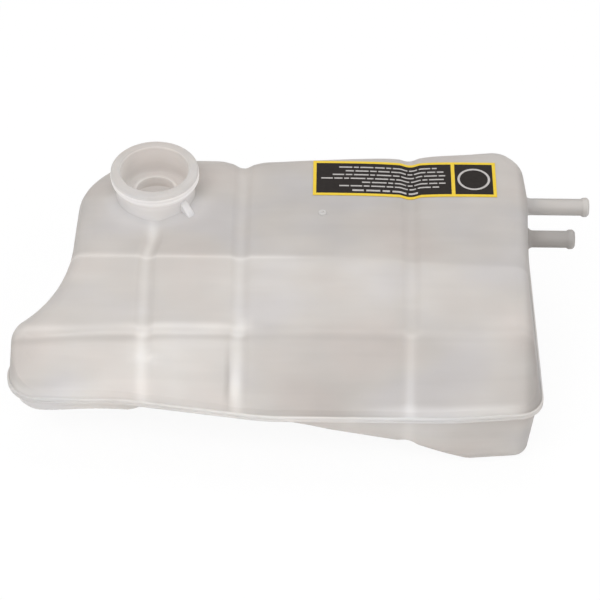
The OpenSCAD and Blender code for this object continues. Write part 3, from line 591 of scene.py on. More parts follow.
def tone_with_painted_light(points):
    """Tone at a place, mostly painted light and shade: 0 is the plain wall, positive is paler, negative is
    darker.
    """
    x, y, z = np.moveaxis(points, -1, 0)
    fold1, fold2 = FRONT + FOLD_FRONT, fold_back_y(x)
    straight_x = x - bend_at(x, y)
    plateau = rise(y, fold2 - 1, 3)
    facet = fall(y, fold1 - 1, 2.5)
    g1, g2, g3 = (bump(straight_x, g, 3.2) for g in GROOVES)
    # Pale bands along the grooves: partly the baffles and thicker plastic seen through the wall, partly
    # painted light
    groove = (g1 * (0.3 + 0.45 * facet + 0.5 * plateau) + g2 * (0.25 + 0.35 * facet)
              + g3 * (0.1 + 0.5 * facet))
    # Painted highlight over the lower fold, painted shade on its right part against the gloss there, and a
    # painted shade line under the fold
    fold_painted_light = bump(y, fold1 + 2.6, 2.0) * look(x, FOLD_PAINTED_LIGHT)
    fold_painted_shade = bump(y, fold1 - 2.2, 1.3) * look(x, FOLD_PAINTED_SHADE)
    # Painted highlight along the edge of the plateau
    plateau_edge_highlight = bump(y, fold2 - 1.6, 1.1) * fall(x, -30, 60)
    # Painted shade at both ends
    right_end_shade = rise(x, RIGHT - 14, 7)
    left_end_shade = fall(x, LEFT + 4, 5)
    # Painted highlight in the band over the flange
    foot_highlight = facet * fall(z, 5, 5) * look(x, FOOT_HIGHLIGHT)
    # Painted light in front of the neck, over the shade that falls at its foot
    neck_way = np.hypot(x - NECK[0], y - NECK[1])
    neck_front_light = bump(neck_way, stem_r + 1, 10.0) * rise(NECK[1] - y, -6, 14)
    # Painted shade on the left wall
    left_wall_shade = fall(x, NECK_WALL_X + 3, 4) * rise(y, -15, 15) * fall(z, 40, 12)
    # Painted highlights beside the first and middle grooves, with a painted dark line beside the middle one
    painted_glints = (0.7 * bump(x, GROOVES[0] + 3, 7) * bump(z, 25.5, 1.6) * facet
              + 0.6 * bump(x, GROOVES[1] + 3, 4.5) * bump(y, fold1 + 4.5, 4.0)
              + 1.2 * bump(x, GROOVES[1] - 1, 2.4) * bump(z, 15, 6.5) * facet
              - 0.8 * bump(x, GROOVES[1] - 5.2, 1.1) * bump(z, 18, 12) * facet)
    # Painted light and shade: the front facet lit or shaded along X, the plateau painted darker, and the
    # marks above
    tone = (facet * look(x, FRONT_LIGHT_AND_SHADE) - 0.4 * plateau + groove + fold_painted_light + fold_painted_shade
            + 0.5 * plateau_edge_highlight + foot_highlight + neck_front_light - 0.85 * right_end_shade - 0.5 * left_end_shade
            - 1.3 * left_wall_shade + painted_glints)
    # The flange takes its painted highlight
    return np.where(z < LIP_T + 0.2, look(x, FLANGE_HIGHLIGHT), tone)


def lower_tone_with_painted_light(points):
    """Painted light and shade of the lower shell: its flange has the painted highlight, and its wall is
    palest under the wing.
    """
    x, z = points[..., 0], points[..., 2]
    chines = bump(x, GROOVES[1], 3.5) + bump(x, GROOVES[2], 3.5)
    # Paler along the grooves, partly thicker plastic seen through and partly painted light; painted shade
    # at the right end
    tone = look(x, LOWER_PAINTED_LIGHT) - 0.6 * rise(x, RIGHT - 16, 9) + 0.3 * chines
    return np.where(z < LIP_T + 0.2, look(x, FLANGE_HIGHLIGHT), tone)


def add_ringed(skin, rings, holes, tone, glow, flip=False, side=1):
    """A wall of rings with its round openings left out, its heights taken up or down."""
    mask = near_holes(centres(rings, True), holes)
    skin.add(rings * [1, 1, side], ring_quads(len(rings), rings.shape[1], mask, flip), tone, glow)


upper = Skin()
add_ringed(upper, rings, spigot_holes, tone_with_painted_light(rings), 0.0)
outer_points = raised(upper_grid, upper_z)
stem_mask = near_holes(centres(outer_points, False), stem_hole)
upper.add(outer_points, grid_quads(COLS, upper_rows.n, stem_mask), tone_with_painted_light(outer_points))
inner_low = level_ring(upper_s, LIP + WALL, 0, upper_notch)
add_ringed(upper, np.array([rings[0], inner_low]), [], 0, 0.0, True)
inner_last = raised(edge_plan, at_edge(upper_inner_z, upper_loop))
inner_wall = inner_rings(inner_low, upper_ring(LIP + WALL, 1, 1.0), inner_last)
# Inner skins: painted glow, emission standing in for light let through the walls
add_ringed(upper, inner_wall, spigot_holes, 0, INNER_GLOW, True)
inner_points = raised(upper_grid, upper_inner_z)
inner_mask = near_holes(centres(inner_points, False), stem_hole)
upper.add(inner_points, grid_quads(COLS, upper_rows.n, inner_mask, True), 0, INNER_GLOW)


# Turned parts: neck and spigots
def over_turn(value, profile, ring):
    """A tone or glow, worked out for each point where it is a function of radius, height and back."""
    if callable(value):
        return [value(r, h, back) for r, h in profile for back in ring[:, 1]]
    return value


def turned(skin, profile, origin, axis, segments, tone, glow=0.0):
    """A closed profile of (radius, height) turned round an axis."""
    profile = np.array(profile, float)
    a = 2 * math.pi * np.arange(segments) / segments
    ring = np.stack([np.cos(a), np.sin(a)], 1)
    points = np.array([[(r * out, r * back, h) for out, back in ring] for r, h in profile])
    turn = np.array(Vector((0, 0, 1)).rotation_difference(Vector(axis)).to_matrix())
    points = points @ turn.T + np.array(origin)
    skin.add(points, ring_quads(len(profile), segments), over_turn(tone, profile, ring),
             over_turn(glow, profile, ring))


def arc_points(cx, cy, r, a0, a1, n):
    a = np.radians(np.linspace(a0, a1, n + 1))
    return [(cx + r * math.cos(v), cy + r * math.sin(v)) for v in a]


top = ROOF_H + NECK_H
mouth_floor = top - MOUTH_DEPTH
neck_r, mouth_r, throat_r = NECK_D / 2, MOUTH_D / 2, THROAT_D / 2
lip_r = throat_r + THROAT_WALL
under = ROOF_H - 3 * WALL
lip_top = mouth_floor + THROAT_LIP
rim_foot = top - RIM_L - RIM_SLOPE
NECK_FOOT = [(5.0, -0.9), (4.4, 0.2), (3.4, 0.7), (2.3, 1.3), (1.4, 2.2), (0.7, 3.3), (0.2, 4.6), (0, 6.2)]
neck_profile = (
    [(stem_r + out, ROOF_H + up) for out, up in NECK_FOOT]
    + [(stem_r, rim_foot - 0.8), (stem_r + 0.3, rim_foot), (stem_r + 1.1, rim_foot + 0.9),
       (neck_r - 0.9, top - RIM_L - 0.7), (neck_r - 0.2, top - RIM_L + 0.3), (neck_r, top - RIM_L + 1.2),
       (neck_r, top - 2.2)]
    + arc_points(neck_r - 2.0, top - 2.0, 2.0, 10, 90, 6)
    + arc_points(mouth_r + 1.8, top - 1.8, 1.8, 90, 175, 7)
    + [(mouth_r, top - 3), (mouth_r, lip_top + 0.5), (mouth_r - FLOOR_DRAFT * 0.8, mouth_floor + 1)]
    + arc_points(mouth_r - FLOOR_DRAFT - 1, mouth_floor + 1, 1, 0, -90, 4)
    + [(lip_r + 0.5, mouth_floor), (lip_r, mouth_floor + 0.5), (lip_r, lip_top - 0.6)]
    + arc_points(lip_r - 0.6, lip_top - 0.6, 0.6, 20, 90, 3)
    + arc_points(throat_r + 0.6, lip_top - 0.6, 0.6, 90, 170, 3)
    + [(throat_r, mouth_floor), (throat_r, mouth_floor - 2.6), (throat_r + 0.4, mouth_floor - 3),
       (mouth_r - UNDER_STEP, mouth_floor - 3), (mouth_r - UNDER_STEP, under), (mouth_r + 2.5, under)])
NECK_SIDES = 160
SPIGOT_SIDES, OUTLET_SIDES, GATE_SIDES, THREAD_SIDES, THREAD_FADE = 64, 80, 32, 96, 12

# Painted light and shade of the neck by height outside, and by depth in its mouth
NECK_OUT_LIGHT = ([ROOF_H, ROOF_H + 6, top - RIM_L, top - 3, top - 0.4], [0.5, 0.6, 1.2, 1.1, 0.1])
NECK_IN_LIGHT_AND_SHADE = ([0, 0.4, 3, 8, 14, MOUTH_DEPTH], [0.05, 0.4, 1.0, 0.45, -0.45, -0.35])


def neck_light_and_shade(r, h, back):
    """Painted light and shade: bright outside under the rim and less so on the back, painted shade down in
    the mouth, where the ring at its floor is pale.
    """
    if r > mouth_r + 0.5:
        return look(h, NECK_OUT_LIGHT) * (1 - 0.4 * smooth(back))
    ring = bump(h, lip_top, 0.9) if throat_r - 0.1 < r < lip_r + 0.3 else 0
    return look(top - h, NECK_IN_LIGHT_AND_SHADE) + 0.1 * ring


def neck_glow(r, h, back):
    """Painted glow, emission in place of light let through: most under the rim in front, and in the throat.
    """
    if r > mouth_r + 0.5:
        return (0.2 * bump(h, ROOF_H + 7, 6) + 0.42 * bump(h, top - RIM_L, 4.5)) * smooth(0.7 - back)
    return 0.12 + 0.34 * rise(top - h, 7, 11)


turned(upper, neck_profile, (*NECK, 0), (0, 0, 1), NECK_SIDES, neck_light_and_shade, neck_glow)

# Section of the thread: share of its half width, share of its height
THREAD = [(-1.25, -0.15), (-0.75, 0.55), (-0.35, 0.95), (0, 1), (0.35, 0.95), (0.75, 0.55), (1.25, -0.15)]


def thread(skin, r, low, pitch, turns, height, half):
    """A raised thread that grows out of the neck and fades back into it."""
    n = int(turns * THREAD_SIDES)
    a = 2 * math.pi * turns * np.arange(n + 1) / n
    grow = np.minimum(1, np.minimum(np.arange(n + 1), n - np.arange(n + 1)) / THREAD_FADE)
    points = np.zeros((n + 1, len(THREAD), 3))
    for j, (along, out) in enumerate(THREAD):
        radius = r + height * out * grow
        points[:, j, 0] = NECK[0] + radius * np.sin(a)
        points[:, j, 1] = NECK[1] - radius * np.cos(a)
        points[:, j, 2] = low + pitch * a / (2 * math.pi) + along * half
    # Painted light: the thread is pale and has a painted glow
    skin.add(points, grid_quads(n + 1, len(THREAD)), 1.2, 0.35)


thread(upper, neck_r - 0.1, top - 6.6, pitch=2.6, turns=1.75, height=0.35, half=0.8)

# Foot and bead of a spigot: distances out and on from the foot, and share of the bead's height and way on
SPIGOT_FOOT = [(1.5, -0.6), (1.2, 0.0), (0.5, 0.7), (0.1, 1.6), (0.0, 2.4)]
BEAD_L, BEAD_SHAPE = 3.5, [(0.0, -1.5), (0.5, -0.9), (0.95, -0.2), (1.0, 0.3), (1.0, 1.8), (0.7, 2.4)]


def spigot_profile(length, d, bore, root):
    r = d / 2
    return ([(r + SPIGOT_FOOT[0][0], -1)] + [(r + out, root + on) for out, on in SPIGOT_FOOT]
            + [(r + BEAD * share, length - BEAD_L + on) for share, on in BEAD_SHAPE]
            + [(r - 0.2, length - 0.3), (r - 0.7, length), (bore / 2 + 0.5, length),
               (bore / 2, length - 0.5), (bore / 2, length * 0.5), (bore / 2, -2)])


# The two spigots by reach, darkness and painted glow
SPIGOTS = [(SPIGOT_LONG, 0.0, 0.03), (SPIGOT_SHORT, 1.5, 0.06)]
small_root, small_foot = RIGHT - LIP - DRAFT - 0.4 * EDGE_R, 0.5 * EDGE_R
for k, (reach, dark, glow) in enumerate(SPIGOTS):
    # Painted shade: each spigot is darker on its back side
    turned(upper, spigot_profile(RIGHT + reach - small_root, SPIGOT_D, SPIGOT_BORE, small_foot),
           (small_root, spigot_y[k], SPIGOT_H), (1, 0, 0), SPIGOT_SIDES,
           lambda r, h, back: -dark - (0.9 - 0.5 * dark) * smooth(back / 0.5), glow)


# Stop rib beside the neck and the gate mark on the roof
STOP_LAYERS = [(-1, 1.0), (-0.82, 0.45), (-0.5, 0.1), (0.5, 0.1), (0.82, 0.45), (1, 1.0)]
STOP_ANGLE, STOP_OUT, STOP_ROUND, GATE_SHIFT, GATE_FRONT = -41.0, 6.0, 1.5, 1.75, 16.0


def stop_rib(skin):
    """A plate with rounded rims that stands out from the stem, as layers from side to side."""
    reach = COLLAR_D / 2 + STOP_OUT
    shape = np.array([(stem_r - 1, -0.6), (reach, -0.6), (reach, 0.6), (reach - 0.6, 1.5),
                      (stem_r + 1.6, 8.7), (stem_r + 0.9, 9.2), (stem_r - 1, 9.3)]) + [0, ROOF_H]
    to_mid = shape.mean(0) - shape
    to_mid /= np.linalg.norm(to_mid, axis=1, keepdims=True)
    c, s = math.cos(math.radians(STOP_ANGLE)), math.sin(math.radians(STOP_ANGLE))
    layers = []
    for side, share in STOP_LAYERS:
        off = side * STOP_T / 2
        layers.append([(NECK[0] + out * c - off * s, NECK[1] + out * s + off * c, up)
                       for out, up in shape + share * STOP_ROUND * to_mid])
    m, far = len(shape), len(shape) * (len(layers) - 1)
    faces = ring_quads(len(layers), m) + [tuple(range(m))[::-1], tuple(range(far, far + m))]
    # Painted light: the rib is pale and has a painted glow
    skin.add(layers, faces, 1.2, RIB_GLOW)


stop_rib(upper)
gate_place = ((GROOVES[1] + GROOVES[2]) / 2 - GATE_SHIFT, FRONT + LABEL_FRONT - GATE_FRONT, ROOF_H + SWELL)
gate_profile = [(2.9, -1.2), (2.5, 0.2), (2.3, 0.5), (1.9, 0.6), (1.2, 0.55), (0.9, 0.1), (0.01, 0.0)]
turned(upper, gate_profile, gate_place, (0, 0, 1), GATE_SIDES, 0.6)

# Lower shell: depths below the seam
lower_root = LIP + LOWER_STEP
lower_lean_0 = LOWER_DRAFT * CHINE_WING / SEAM_H
BELLY, INNER_SINK, RAMP_SOFT = 58.0, 0.5, 1.0
lower_folds = [lambda x: FRONT + BELLY]
lower_end = BODY_D - lower_root - LOWER_DRAFT - BOTTOM_R
lower_rows = Rows([np.linspace(0, 1, 25)[:-1], np.linspace(0, 1, 19)],
                  [lower_root + lower_lean_0 + BOTTOM_R, BELLY, lower_end])
lower_runs = edge_runs(lower_rows, lower_folds)
chine_keys = ([GROOVES[0] - CHINE_HALF, GROOVES[0] + CHINE_HALF, GROOVES[1] + CHINE_FLAT,
               GROOVES[1] + CHINE_MIDWAY, GROOVES[2], GROOVES[2] + SUMP_L],
              [CHINE_WING, CHINE_MID, CHINE_MID, mix(CHINE_MID, CHINE_GROOVE, 0.5), CHINE_GROOVE, SEAM_H])


def deep_at(x):
    """Depth of the floor: less under the wing than under the rest."""
    return mix(WING_DROP, SEAM_H, rise(x, NECK_WALL_X - DROP_LEAD, DROP_L))


lower_lean = [LOWER_DRAFT * deep_at(on_line(s)[:, 0]) / SEAM_H for s in lower_runs]
lower_grid = plan_grid(lower_rows, lower_folds, lower_runs, [v + lower_root + BOTTOM_R for v in lower_lean])
lx, ly = lower_grid[..., 0], lower_grid[..., 1]
ramp_z = look(lx, chine_keys) + RAMP * np.maximum(0, ly - ly[:, :1])
lower_z = soft_min(deep_at(lx), ramp_z, RAMP_SOFT) - groove_depth(col_x[:, None], ly)
lower_inner_z = lower_z - np.where(lower_z > SEAM_H - 2 * WALL, WALL, upright(RAMP))
lower_loop = edge_loop(lower_rows.n)
lower_s, lower_in = loop_of(lower_runs), loop_of(lower_lean)
lower_notch = np.where(lower_loop[:, 1] == lower_rows.n - 1, back_notch[lower_loop[:, 0]], 0)
lower_edge_z = at_edge(lower_z, lower_loop)
lower_drop = round_drop(lower_edge_z, BOTTOM_R)


def lower_ring(d, cut, sink=0.0):
    return raised(inside(lower_s, d + lower_in + lower_notch), lower_edge_z - cut * lower_drop - sink)


lower_foot = level_ring(lower_s, lower_root, LIP_T + FOOT_UP, lower_notch)
ledge = level_ring(lower_s, lower_root - LEDGE, LIP_T)
edge_plan = at_edge(lower_grid, lower_loop)
rings = outer_rings(lower_s, [ledge, lower_foot], lower_ring, lower_root, BOTTOM_R,
                    raised(edge_plan, lower_edge_z))
outlet = inside(look(RIGHT - OUTLET_X, back_table), np.array(lower_root + LOWER_DRAFT / 2))
outlet_holes = [((outlet[0], outlet[1], OUTLET_DROP), (0, 1, 0), OUTLET_HOLE)]
down = [1, 1, -1]

lower = Skin()
add_ringed(lower, rings, outlet_holes, lower_tone_with_painted_light(rings), 0.0, True, -1)
outer_points = raised(lower_grid, lower_z)
lower.add(outer_points * down, grid_quads(COLS, lower_rows.n, None, True), lower_tone_with_painted_light(outer_points))
lower_outside = BVHTree.FromPolygons(np.concatenate(lower.points).tolist(), lower.faces)
inner_low = level_ring(lower_s, lower_root + WALL, 0, lower_notch)
inner_last = raised(edge_plan, at_edge(lower_inner_z, lower_loop))
inner_wall = inner_rings(inner_low, lower_ring(lower_root + WALL, 1, INNER_SINK), inner_last)
# Inner skins: painted glow, emission standing in for light let through the walls
add_ringed(lower, inner_wall, outlet_holes, 0, INNER_GLOW, False, -1)
add_ringed(lower, np.array([rings[0], inner_low]), [], 0, 0.0, False, -1)
lower.add(raised(lower_grid, lower_inner_z) * down, grid_quads(COLS, lower_rows.n), 0, INNER_GLOW)
outlet_reach = BACK + OUTLET_L - outlet[1] + WALL / 2
turned(lower, spigot_profile(outlet_reach, OUTLET_D, OUTLET_BORE, WALL + 2),
       (outlet[0], outlet[1] - WALL / 2, -OUTLET_DROP), (0, 1, 0), OUTLET_SIDES, -0.1)


# Baffles behind the grooves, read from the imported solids: their half thickness, the arch at the seam with
# its middle from front to back, how square to X a flat side stands, and the cover over their ends
BAFFLE_HALF, ARCH_R, ARCH_Y, SQUARE, COVER = 1.35, 31.0, 10.0, 0.9, 0.8


def tucked(points, outside):
    """Points that reach through the outer skin, or nearly, moved back under it."""
    out = []
    for point in points:
        place, normal, _, _ = outside.find_nearest(Vector(point))
        depth = (place - Vector(point)) @ normal
        out.append(place - normal * COVER if depth < COVER else point)
    return np.array([tuple(point) for point in out])


def add_baffles(skin, node, outside=None):
    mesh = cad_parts[node].data
    points = np.zeros(len(mesh.vertices) * 3)
    mesh.vertices.foreach_get("co", points)
    points = points.reshape(-1, 3) / MM
    picked = []
    for face in mesh.polygons:
        corners = points[list(face.vertices)]
        in_arch = (np.all(np.abs(corners[:, 2] - SEAM_H) < ARCH_R)
                   and abs(corners[:, 1].mean() - ARCH_Y) < ARCH_R)
        on_baffle = any(np.all(np.abs(corners[:, 0] - g) < BAFFLE_HALF) for g in GROOVES)
        if on_baffle and (abs(face.normal.x) > SQUARE or in_arch):
            picked.append(tuple(face.vertices))
    used = sorted({i for face in picked for i in face})
    index = {v: k for k, v in enumerate(used)}
    places = points[used] - [0, 0, SEAM_H]
    if outside is not None:
        places = tucked(places, outside)
    # Painted glow on the baffles, emission standing in for light let through the walls
    skin.add(places, [tuple(index[i] for i in face) for face in picked], 0, BAFFLE_GLOW)


add_baffles(upper, "upper_shell")
add_baffles(lower, "lower_shell", lower_outside)


# Materials
PLASTIC_DARK, PLASTIC_MID, PLASTIC_PALE = (0.35, 0.331, 0.318), (0.578, 0.556, 0.536), (0.88, 0.862, 0.840)
THROUGH = 0.3


def node_tree(name):
    material = bpy.data.materials.new(name)
    material.use_nodes = True
    tree = material.node_tree
    return material, tree, tree.nodes["Principled BSDF"]


def feed(node, inputs):
    """Each named input of a node is linked to an output or set to a value."""
    for label, source in inputs.items():
        if isinstance(source, bpy.types.NodeSocket):
            node.id_data.links.new(source, node.inputs[label])
        else:
            node.inputs[label].default_value = source
    return node


def new_node(tree, kind, inputs):
    return feed(tree.nodes.new(kind), inputs)


def place_in(tree):
    return tree.nodes.new("ShaderNodeNewGeometry").outputs["Position"]


def field_of(tree, name):
    """A value that the points of the mesh carry."""
    node = tree.nodes.new("ShaderNodeAttribute")
    node.attribute_name = name
    return node.outputs["Fac"]


def noise(tree, vector, scale, detail, stretch=(1, 1, 1), shift=0.0):
    """A noise field over the place, drawn out along the axes where stretch says so."""
    mapping = new_node(tree, "ShaderNodeMapping",
                       {"Vector": vector, "Scale": stretch, "Location": [shift] * 3})
    field = new_node(tree, "ShaderNodeTexNoise",
                     {"Vector": mapping.outputs["Vector"], "Scale": scale, "Detail": detail})
    return field.outputs["Fac"]


def level(tree, value, low, high):
    """A value from 0 to 1 carried evenly to another range."""
    node = new_node(tree, "ShaderNodeMapRange", {"Value": value, "To Min": low, "To Max": high})
    return node.outputs["Result"]


def spread(tree, value, low, high, to_low, to_high):
    """A value carried from one range to another with smooth ends."""
    node = new_node(tree, "ShaderNodeMapRange", {"Value": value, "From Min": low, "From Max": high,
                                                 "To Min": to_low, "To Max": to_high})
    node.interpolation_type = "SMOOTHSTEP"
    return node.outputs["Result"]


def maths(tree, operation, a, b):
    node = new_node(tree, "ShaderNodeMath", {0: a, 1: b})
    node.operation = operation
    return node.outputs[0]


def total(tree, values):
    out = values[0]
    for value in values[1:]:
        out = maths(tree, "ADD", out, value)
    return out


def colour_ramp(tree, value, stops):
    node = new_node(tree, "ShaderNodeValToRGB", {"Fac": value})
    ramp = node.color_ramp
    while len(ramp.elements) < len(stops):
        ramp.elements.new(0.5)
    for element, (place, colour) in zip(ramp.elements, stops):
        element.position = place
        element.color = (*colour, 1)
    return node.outputs["Color"]


def relief(tree, height, strength, distance, under=None):
    """A normal pushed by a height field, over another relief where one is given."""
    inputs = {"Height": height, "Strength": strength, "Distance": distance}
    if under is not None:
        inputs["Normal"] = under
    return new_node(tree, "ShaderNodeBump", inputs).outputs["Normal"]


def blend(tree, share, a, b):
    """The surface as a mix of two shaders, with a share of the second."""
    mixed = new_node(tree, "ShaderNodeMixShader", {"Fac": share, 1: a, 2: b})
    feed(tree.nodes["Material Output"], {"Surface": mixed.outputs["Shader"]})


def plastic():
    """Milky moulded polypropylene: a tone mostly of painted light and shade, soft clouding, flow streaks,
    fine grain and a painted glow.
    """
    material, tree, shader = node_tree("milky_polypropylene")
    place = place_in(tree)
    clouds = noise(tree, place, 16, 2, shift=3.0)
    patches = noise(tree, place, 46, 1, (0.8, 1.0, 1.6), 7.0)
    streaks = noise(tree, place, 90, 2, (0.12, 1.0, 1.5), 1.0)
    amount = total(tree, [
        spread(tree, field_of(tree, "tone"), -2.0, 2.0, 0.06, 0.94),
        spread(tree, clouds, 0.3, 0.7, -0.035, 0.035),
        spread(tree, patches, 0.3, 0.7, -0.022, 0.022),
        spread(tree, streaks, 0.35, 0.65, -0.018, 0.018)])
    base = colour_ramp(tree, amount, [(0.0, PLASTIC_DARK), (0.5, PLASTIC_MID), (1.0, PLASTIC_PALE)])
    hue = colour_ramp(tree, noise(tree, place, 22, 1, (0.7, 1.0, 1.0), 11.0),
                      [(0.36, (1.0, 0.975, 0.965)), (0.5, (0.99, 0.985, 0.98)), (0.64, (0.97, 0.975, 1.0))])
    tint = tree.nodes.new("ShaderNodeMix")
    tint.data_type = "RGBA"
    tint.blend_type = "MULTIPLY"
    feed(tint, {"Factor": 1.0, "A": base, "B": hue})
    colour = tint.outputs["Result"]
    flow = relief(tree, noise(tree, place, 60, 2, (0.35, 1.6, 1.6)), 0.22, 0.001)
    # Emission by the glow field is painted glow, standing in for light let through the plastic
    feed(shader, {
        "Base Color": colour, "Emission Color": colour, "Emission Strength": field_of(tree, "glow"),
        "Normal": relief(tree, noise(tree, place, 1400, 2), 0.1, 0.0001, flow),
        "Roughness": spread(tree, clouds, 0.3, 0.7, 0.40, 0.52), "IOR": 1.45,
        "Subsurface Weight": 0.3, "Subsurface Radius": (1.0, 0.9, 0.8), "Subsurface Scale": 0.006})
    through = new_node(tree, "ShaderNodeBsdfTranslucent", {"Color": colour})
    blend(tree, THROUGH, shader.outputs["BSDF"], through.outputs["BSDF"])
    return material


def vinyl(name, colour, wear):
    """Printed vinyl: a flat colour with faint scuffs and a slightly uneven gloss."""
    material, tree, shader = node_tree(name)
    scuff = noise(tree, place_in(tree), 420, 4)
    feed(shader, {
        "Base Color": colour_ramp(tree, scuff, [(0.35, colour), (0.8, wear)]),
        "Roughness": level(tree, scuff, 0.38, 0.55), "Specular IOR Level": 0.15,
        "Normal": relief(tree, scuff, 0.1, 0.0001)})
    return material


milky = plastic()
for skin in (upper, lower):
    skin.points = [p + [0, 0, SEAM_H] for p in skin.points]
upper_piece = upper.build("tank_upper", milky)
lower_piece = lower.build("tank_lower", milky)
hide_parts("upper_shell")
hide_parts("lower_shell")

# Sticker: fields of colour on a thin sheet that follows the roof
yellow = vinyl("sticker_yellow", (0.66, 0.46, 0.035), (0.68, 0.50, 0.06))
black = vinyl("sticker_black", (0.009, 0.006, 0.005), (0.016, 0.012, 0.010))
pale = vinyl("sticker_pale", (0.40, 0.38, 0.37), (0.46, 0.44, 0.43))
label_x0, label_x1 = RIGHT - LABEL_RIGHT - LABEL_L, RIGHT - LABEL_RIGHT
label_y0, label_y1 = FRONT + LABEL_FRONT, FRONT + LABEL_FRONT + LABEL_W
divider = [label_x0 + way for way in DIVIDER]


def roof_line(y):
    """Places along X and heights of the roof at one distance from front to back."""
    line = []
    for column, heights in zip(upper_grid[first:], upper_z[first:]):
        order = np.argsort(column[:, 1])
        line.append([np.interp(y, column[order, 1], v[order]) for v in (column[:, 0], heights)])
    return np.array(line).T


roof_lines = {}


def roof_z(x, y):
    key = round(float(y), 3)
    if key not in roof_lines:
        roof_lines[key] = roof_line(y)
    return look(x, roof_lines[key])


# Rows of plain bars in place of words: distance from the front rim, height, gap, start and lengths along X
BAR_ROWS = [
    (4.0, 1.5, 1.5, 24, (7, 8.5, 4.5, 8.5, 5.5)),
    (8.3, 1.1, 1, 16, (6, 7, 3.5, 8.5, 4, 8, 4, 8, 4)),
    (11.8, 1.1, 1, 30, (5, 9, 3, 7, 3, 8, 5, 4)),
    (15.3, 1.1, 1, 5, (7, 5, 3, 9, 4, 8, 3, 8, 6, 3, 9)),
    (18.8, 1.1, 1, 12, (7, 4, 9, 3, 9, 4, 8, 4, 8, 4)),
    (22.3, 1.1, 1, 20, (5, 8, 4, 7, 9, 3, 7, 5, 4)),
    (25.8, 1.1, 1, 16, (8, 3, 8, 6, 3, 9, 5, 7, 3)),
]
x_lines = {label_x0, label_x1, label_x0 + BORDER, label_x1 - BORDER, *divider}
y_lines = {label_y0, label_y1, label_y0 + BORDER, label_y1 - BORDER}
bars = []
for low, high, gap, way, lengths in BAR_ROWS:
    y0, y1 = label_y0 + low, label_y0 + low + high
    y_lines |= {y0, y1}
    for length in lengths:
        bars.append((label_x0 + way, label_x0 + (way + length), y0, y1))
        x_lines |= set(bars[-1][:2])
        way += length + gap
x_lines |= set(np.arange(label_x0, label_x1, SHEET_STEP).tolist())
x_lines, y_lines = sorted(x_lines), sorted(y_lines)
x_lines = [x for k, x in enumerate(x_lines) if k == 0 or x - x_lines[k - 1] > 1e-6]


def label_mesh():
    """The sheet: its faces are 0 border, rims and underside, 1 ground and 2 bars."""
    nx, ny = len(x_lines), len(y_lines)
    sheet = np.array([[(x, y, roof_z(x, y) + SEAM_H + LABEL_GAP) for y in y_lines] for x in x_lines])
    low = sheet.reshape(-1, 3)
    points = np.concatenate([low, low + [0, 0, LABEL_T]])
    faces, kinds = [], []
    for i in range(nx - 1):
        for j in range(ny - 1):
            x, y = (x_lines[i] + x_lines[i + 1]) / 2, (y_lines[j] + y_lines[j + 1]) / 2
            p = i * ny + j
            quad = (p, p + ny, p + ny + 1, p + 1)
            rim = (x < label_x0 + BORDER or x > label_x1 - BORDER or y < label_y0 + BORDER
                   or y > label_y1 - BORDER or divider[0] < x < divider[1])
            bar = any(b[0] < x < b[1] and b[2] < y < b[3] for b in bars)
            faces += [tuple(v + nx * ny for v in quad), quad[::-1]]
            kinds += [0 if rim else 2 if bar else 1, 0]
    edge = ([i * ny for i in range(nx)] + [(nx - 1) * ny + j for j in range(1, ny)]
            + [i * ny + ny - 1 for i in range(nx - 2, -1, -1)] + list(range(ny - 2, 0, -1)))
    faces += [(a, b, b + nx * ny, a + nx * ny) for a, b in zip(edge, edge[1:] + edge[:1])]
    kinds += [0] * len(edge)
    mesh = new_mesh("sticker", points, faces)
    mesh.polygons.foreach_set("material_index", kinds)
    return mesh


sticker = in_scene("sticker", label_mesh(), yellow, black, pale)
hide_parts("label")


def ring_mesh():
    """A plain ring that stands in the small field of the sticker."""
    cx, cy = (divider[1] + label_x1 - BORDER) / 2, (label_y0 + label_y1) / 2
    points, faces = [], []
    for k in range(RING_N):
        a, n = 2 * math.pi * k / RING_N, (k + 1) % RING_N
        for r in RING_R:
            x, y = cx + r * math.cos(a), cy + r * math.sin(a)
            points.append((x, y, roof_z(x, y) + SEAM_H + LABEL_GAP + LABEL_T + RING_LIFT))
        faces.append((2 * k, 2 * k + 1, 2 * n + 1, 2 * n))
    return new_mesh("sticker_ring", points, faces)


sticker_ring = in_scene("sticker_ring", ring_mesh(), pale)

for piece in (upper_piece, lower_piece, sticker, sticker_ring):
    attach(piece, "root")


# Studio
FLOOR, FLOOR_Z, FLOOR_GREY, FLOOR_SEEN, WORLD_LIGHT = 6000.0, -0.0005, 0.86, 0.92, 0.68
LIGHT_AIM = Vector((0, 0, 0.05))
LIGHTS = [("key", (-0.6, -1.1, 1.8), (1.2, 0.9), 18), ("fill", (1.2, -0.9, 1.3), (1.2, 1.0), 8),
          ("top", (0.0, 0.6, 2.0), (1.4, 1.0), 9)]


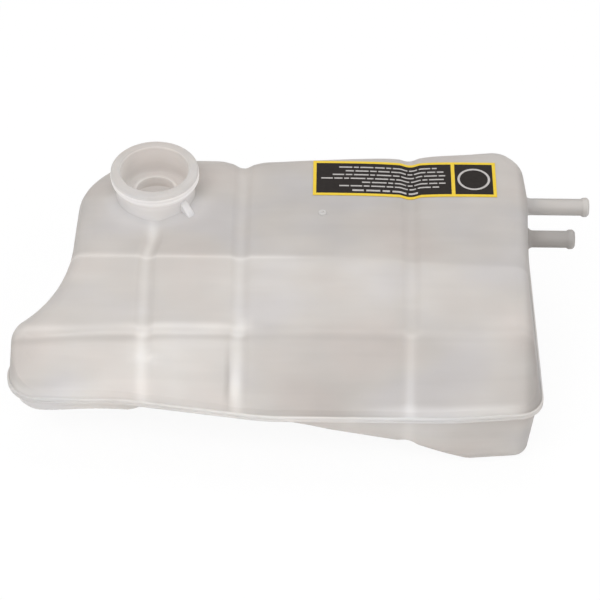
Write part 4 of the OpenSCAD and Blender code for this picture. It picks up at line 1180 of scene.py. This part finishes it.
def studio_floor():
    """A white floor that takes the shadow and looks almost evenly bright to the camera."""
    material, tree, shader = node_tree("studio_white")
    feed(shader, {"Base Color": (*[FLOOR_GREY] * 3, 1), "Roughness": 0.9, "Specular IOR Level": 0.1})
    path = tree.nodes.new("ShaderNodeLightPath")
    share = maths(tree, "MULTIPLY", path.outputs["Is Camera Ray"], FLOOR_SEEN)
    blend(tree, share, shader.outputs["BSDF"], tree.nodes.new("ShaderNodeEmission").outputs["Emission"])
    corners = [(-FLOOR, -FLOOR, 0), (FLOOR, -FLOOR, 0), (FLOOR, FLOOR, 0), (-FLOOR, FLOOR, 0)]
    floor = in_scene("studio_floor", new_mesh("studio_floor", corners, [(0, 1, 2, 3)]), material)
    floor.location.z = FLOOR_Z


def studio_world():
    """White all round: full for camera and reflections, less as light on the part."""
    world = bpy.data.worlds.new("studio")
    world.use_nodes = True
    tree = world.node_tree
    path = tree.nodes.new("ShaderNodeLightPath")
    seen = maths(tree, "MAXIMUM", path.outputs["Is Camera Ray"], path.outputs["Is Glossy Ray"])
    strength = level(tree, seen, WORLD_LIGHT, 1.0)
    feed(tree.nodes["Background"], {"Color": (1, 1, 1, 1), "Strength": strength})
    bpy.context.scene.world = world


def area_light(name, place, size, power):
    light = bpy.data.lights.new(name, "AREA")
    light.shape = "RECTANGLE"
    light.size, light.size_y = size
    light.energy = power
    lamp = in_scene(name, light)
    lamp.location = place
    lamp.rotation_euler = (LIGHT_AIM - Vector(place)).to_track_quat("-Z", "Y").to_euler()


studio_floor()
studio_world()
for lamp_row in LIGHTS:
    area_light(*lamp_row)

# Camera at the photograph's angle: focal length in pixels, angles in degrees, distance in millimetres
FOCAL, ELEVATION, YAW, ROLL, DISTANCE = 2283.87, 43.5396, -0.87246, 0.07796, 1408.35
LOOK_AT = Vector((-2.761, -4.918, 45.0)) * MM
IMAGE_W, SENSOR = 600, 36


def photo_camera():
    """A camera aimed down at the tank and rolled a little about its own axis."""
    e, w, r = (math.radians(angle) for angle in (ELEVATION, YAW, ROLL))
    forward = Vector((math.sin(w) * math.cos(e), math.cos(w) * math.cos(e), -math.sin(e)))
    right = forward.cross(Vector((0, 0, 1))).normalized()
    above = right.cross(forward)
    across = right * math.cos(r) + above * math.sin(r)
    up = above * math.cos(r) - right * math.sin(r)
    lens = bpy.data.cameras.new("camera")
    lens.sensor_width = SENSOR
    lens.lens = FOCAL / IMAGE_W * SENSOR
    camera = in_scene("camera", lens)
    camera.matrix_world = Matrix((across, up, -forward)).transposed().to_4x4()
    camera.location = LOOK_AT - forward * DISTANCE * MM
    bpy.context.scene.camera = camera


photo_camera()
bpy.context.scene.view_settings.view_transform = "Standard"
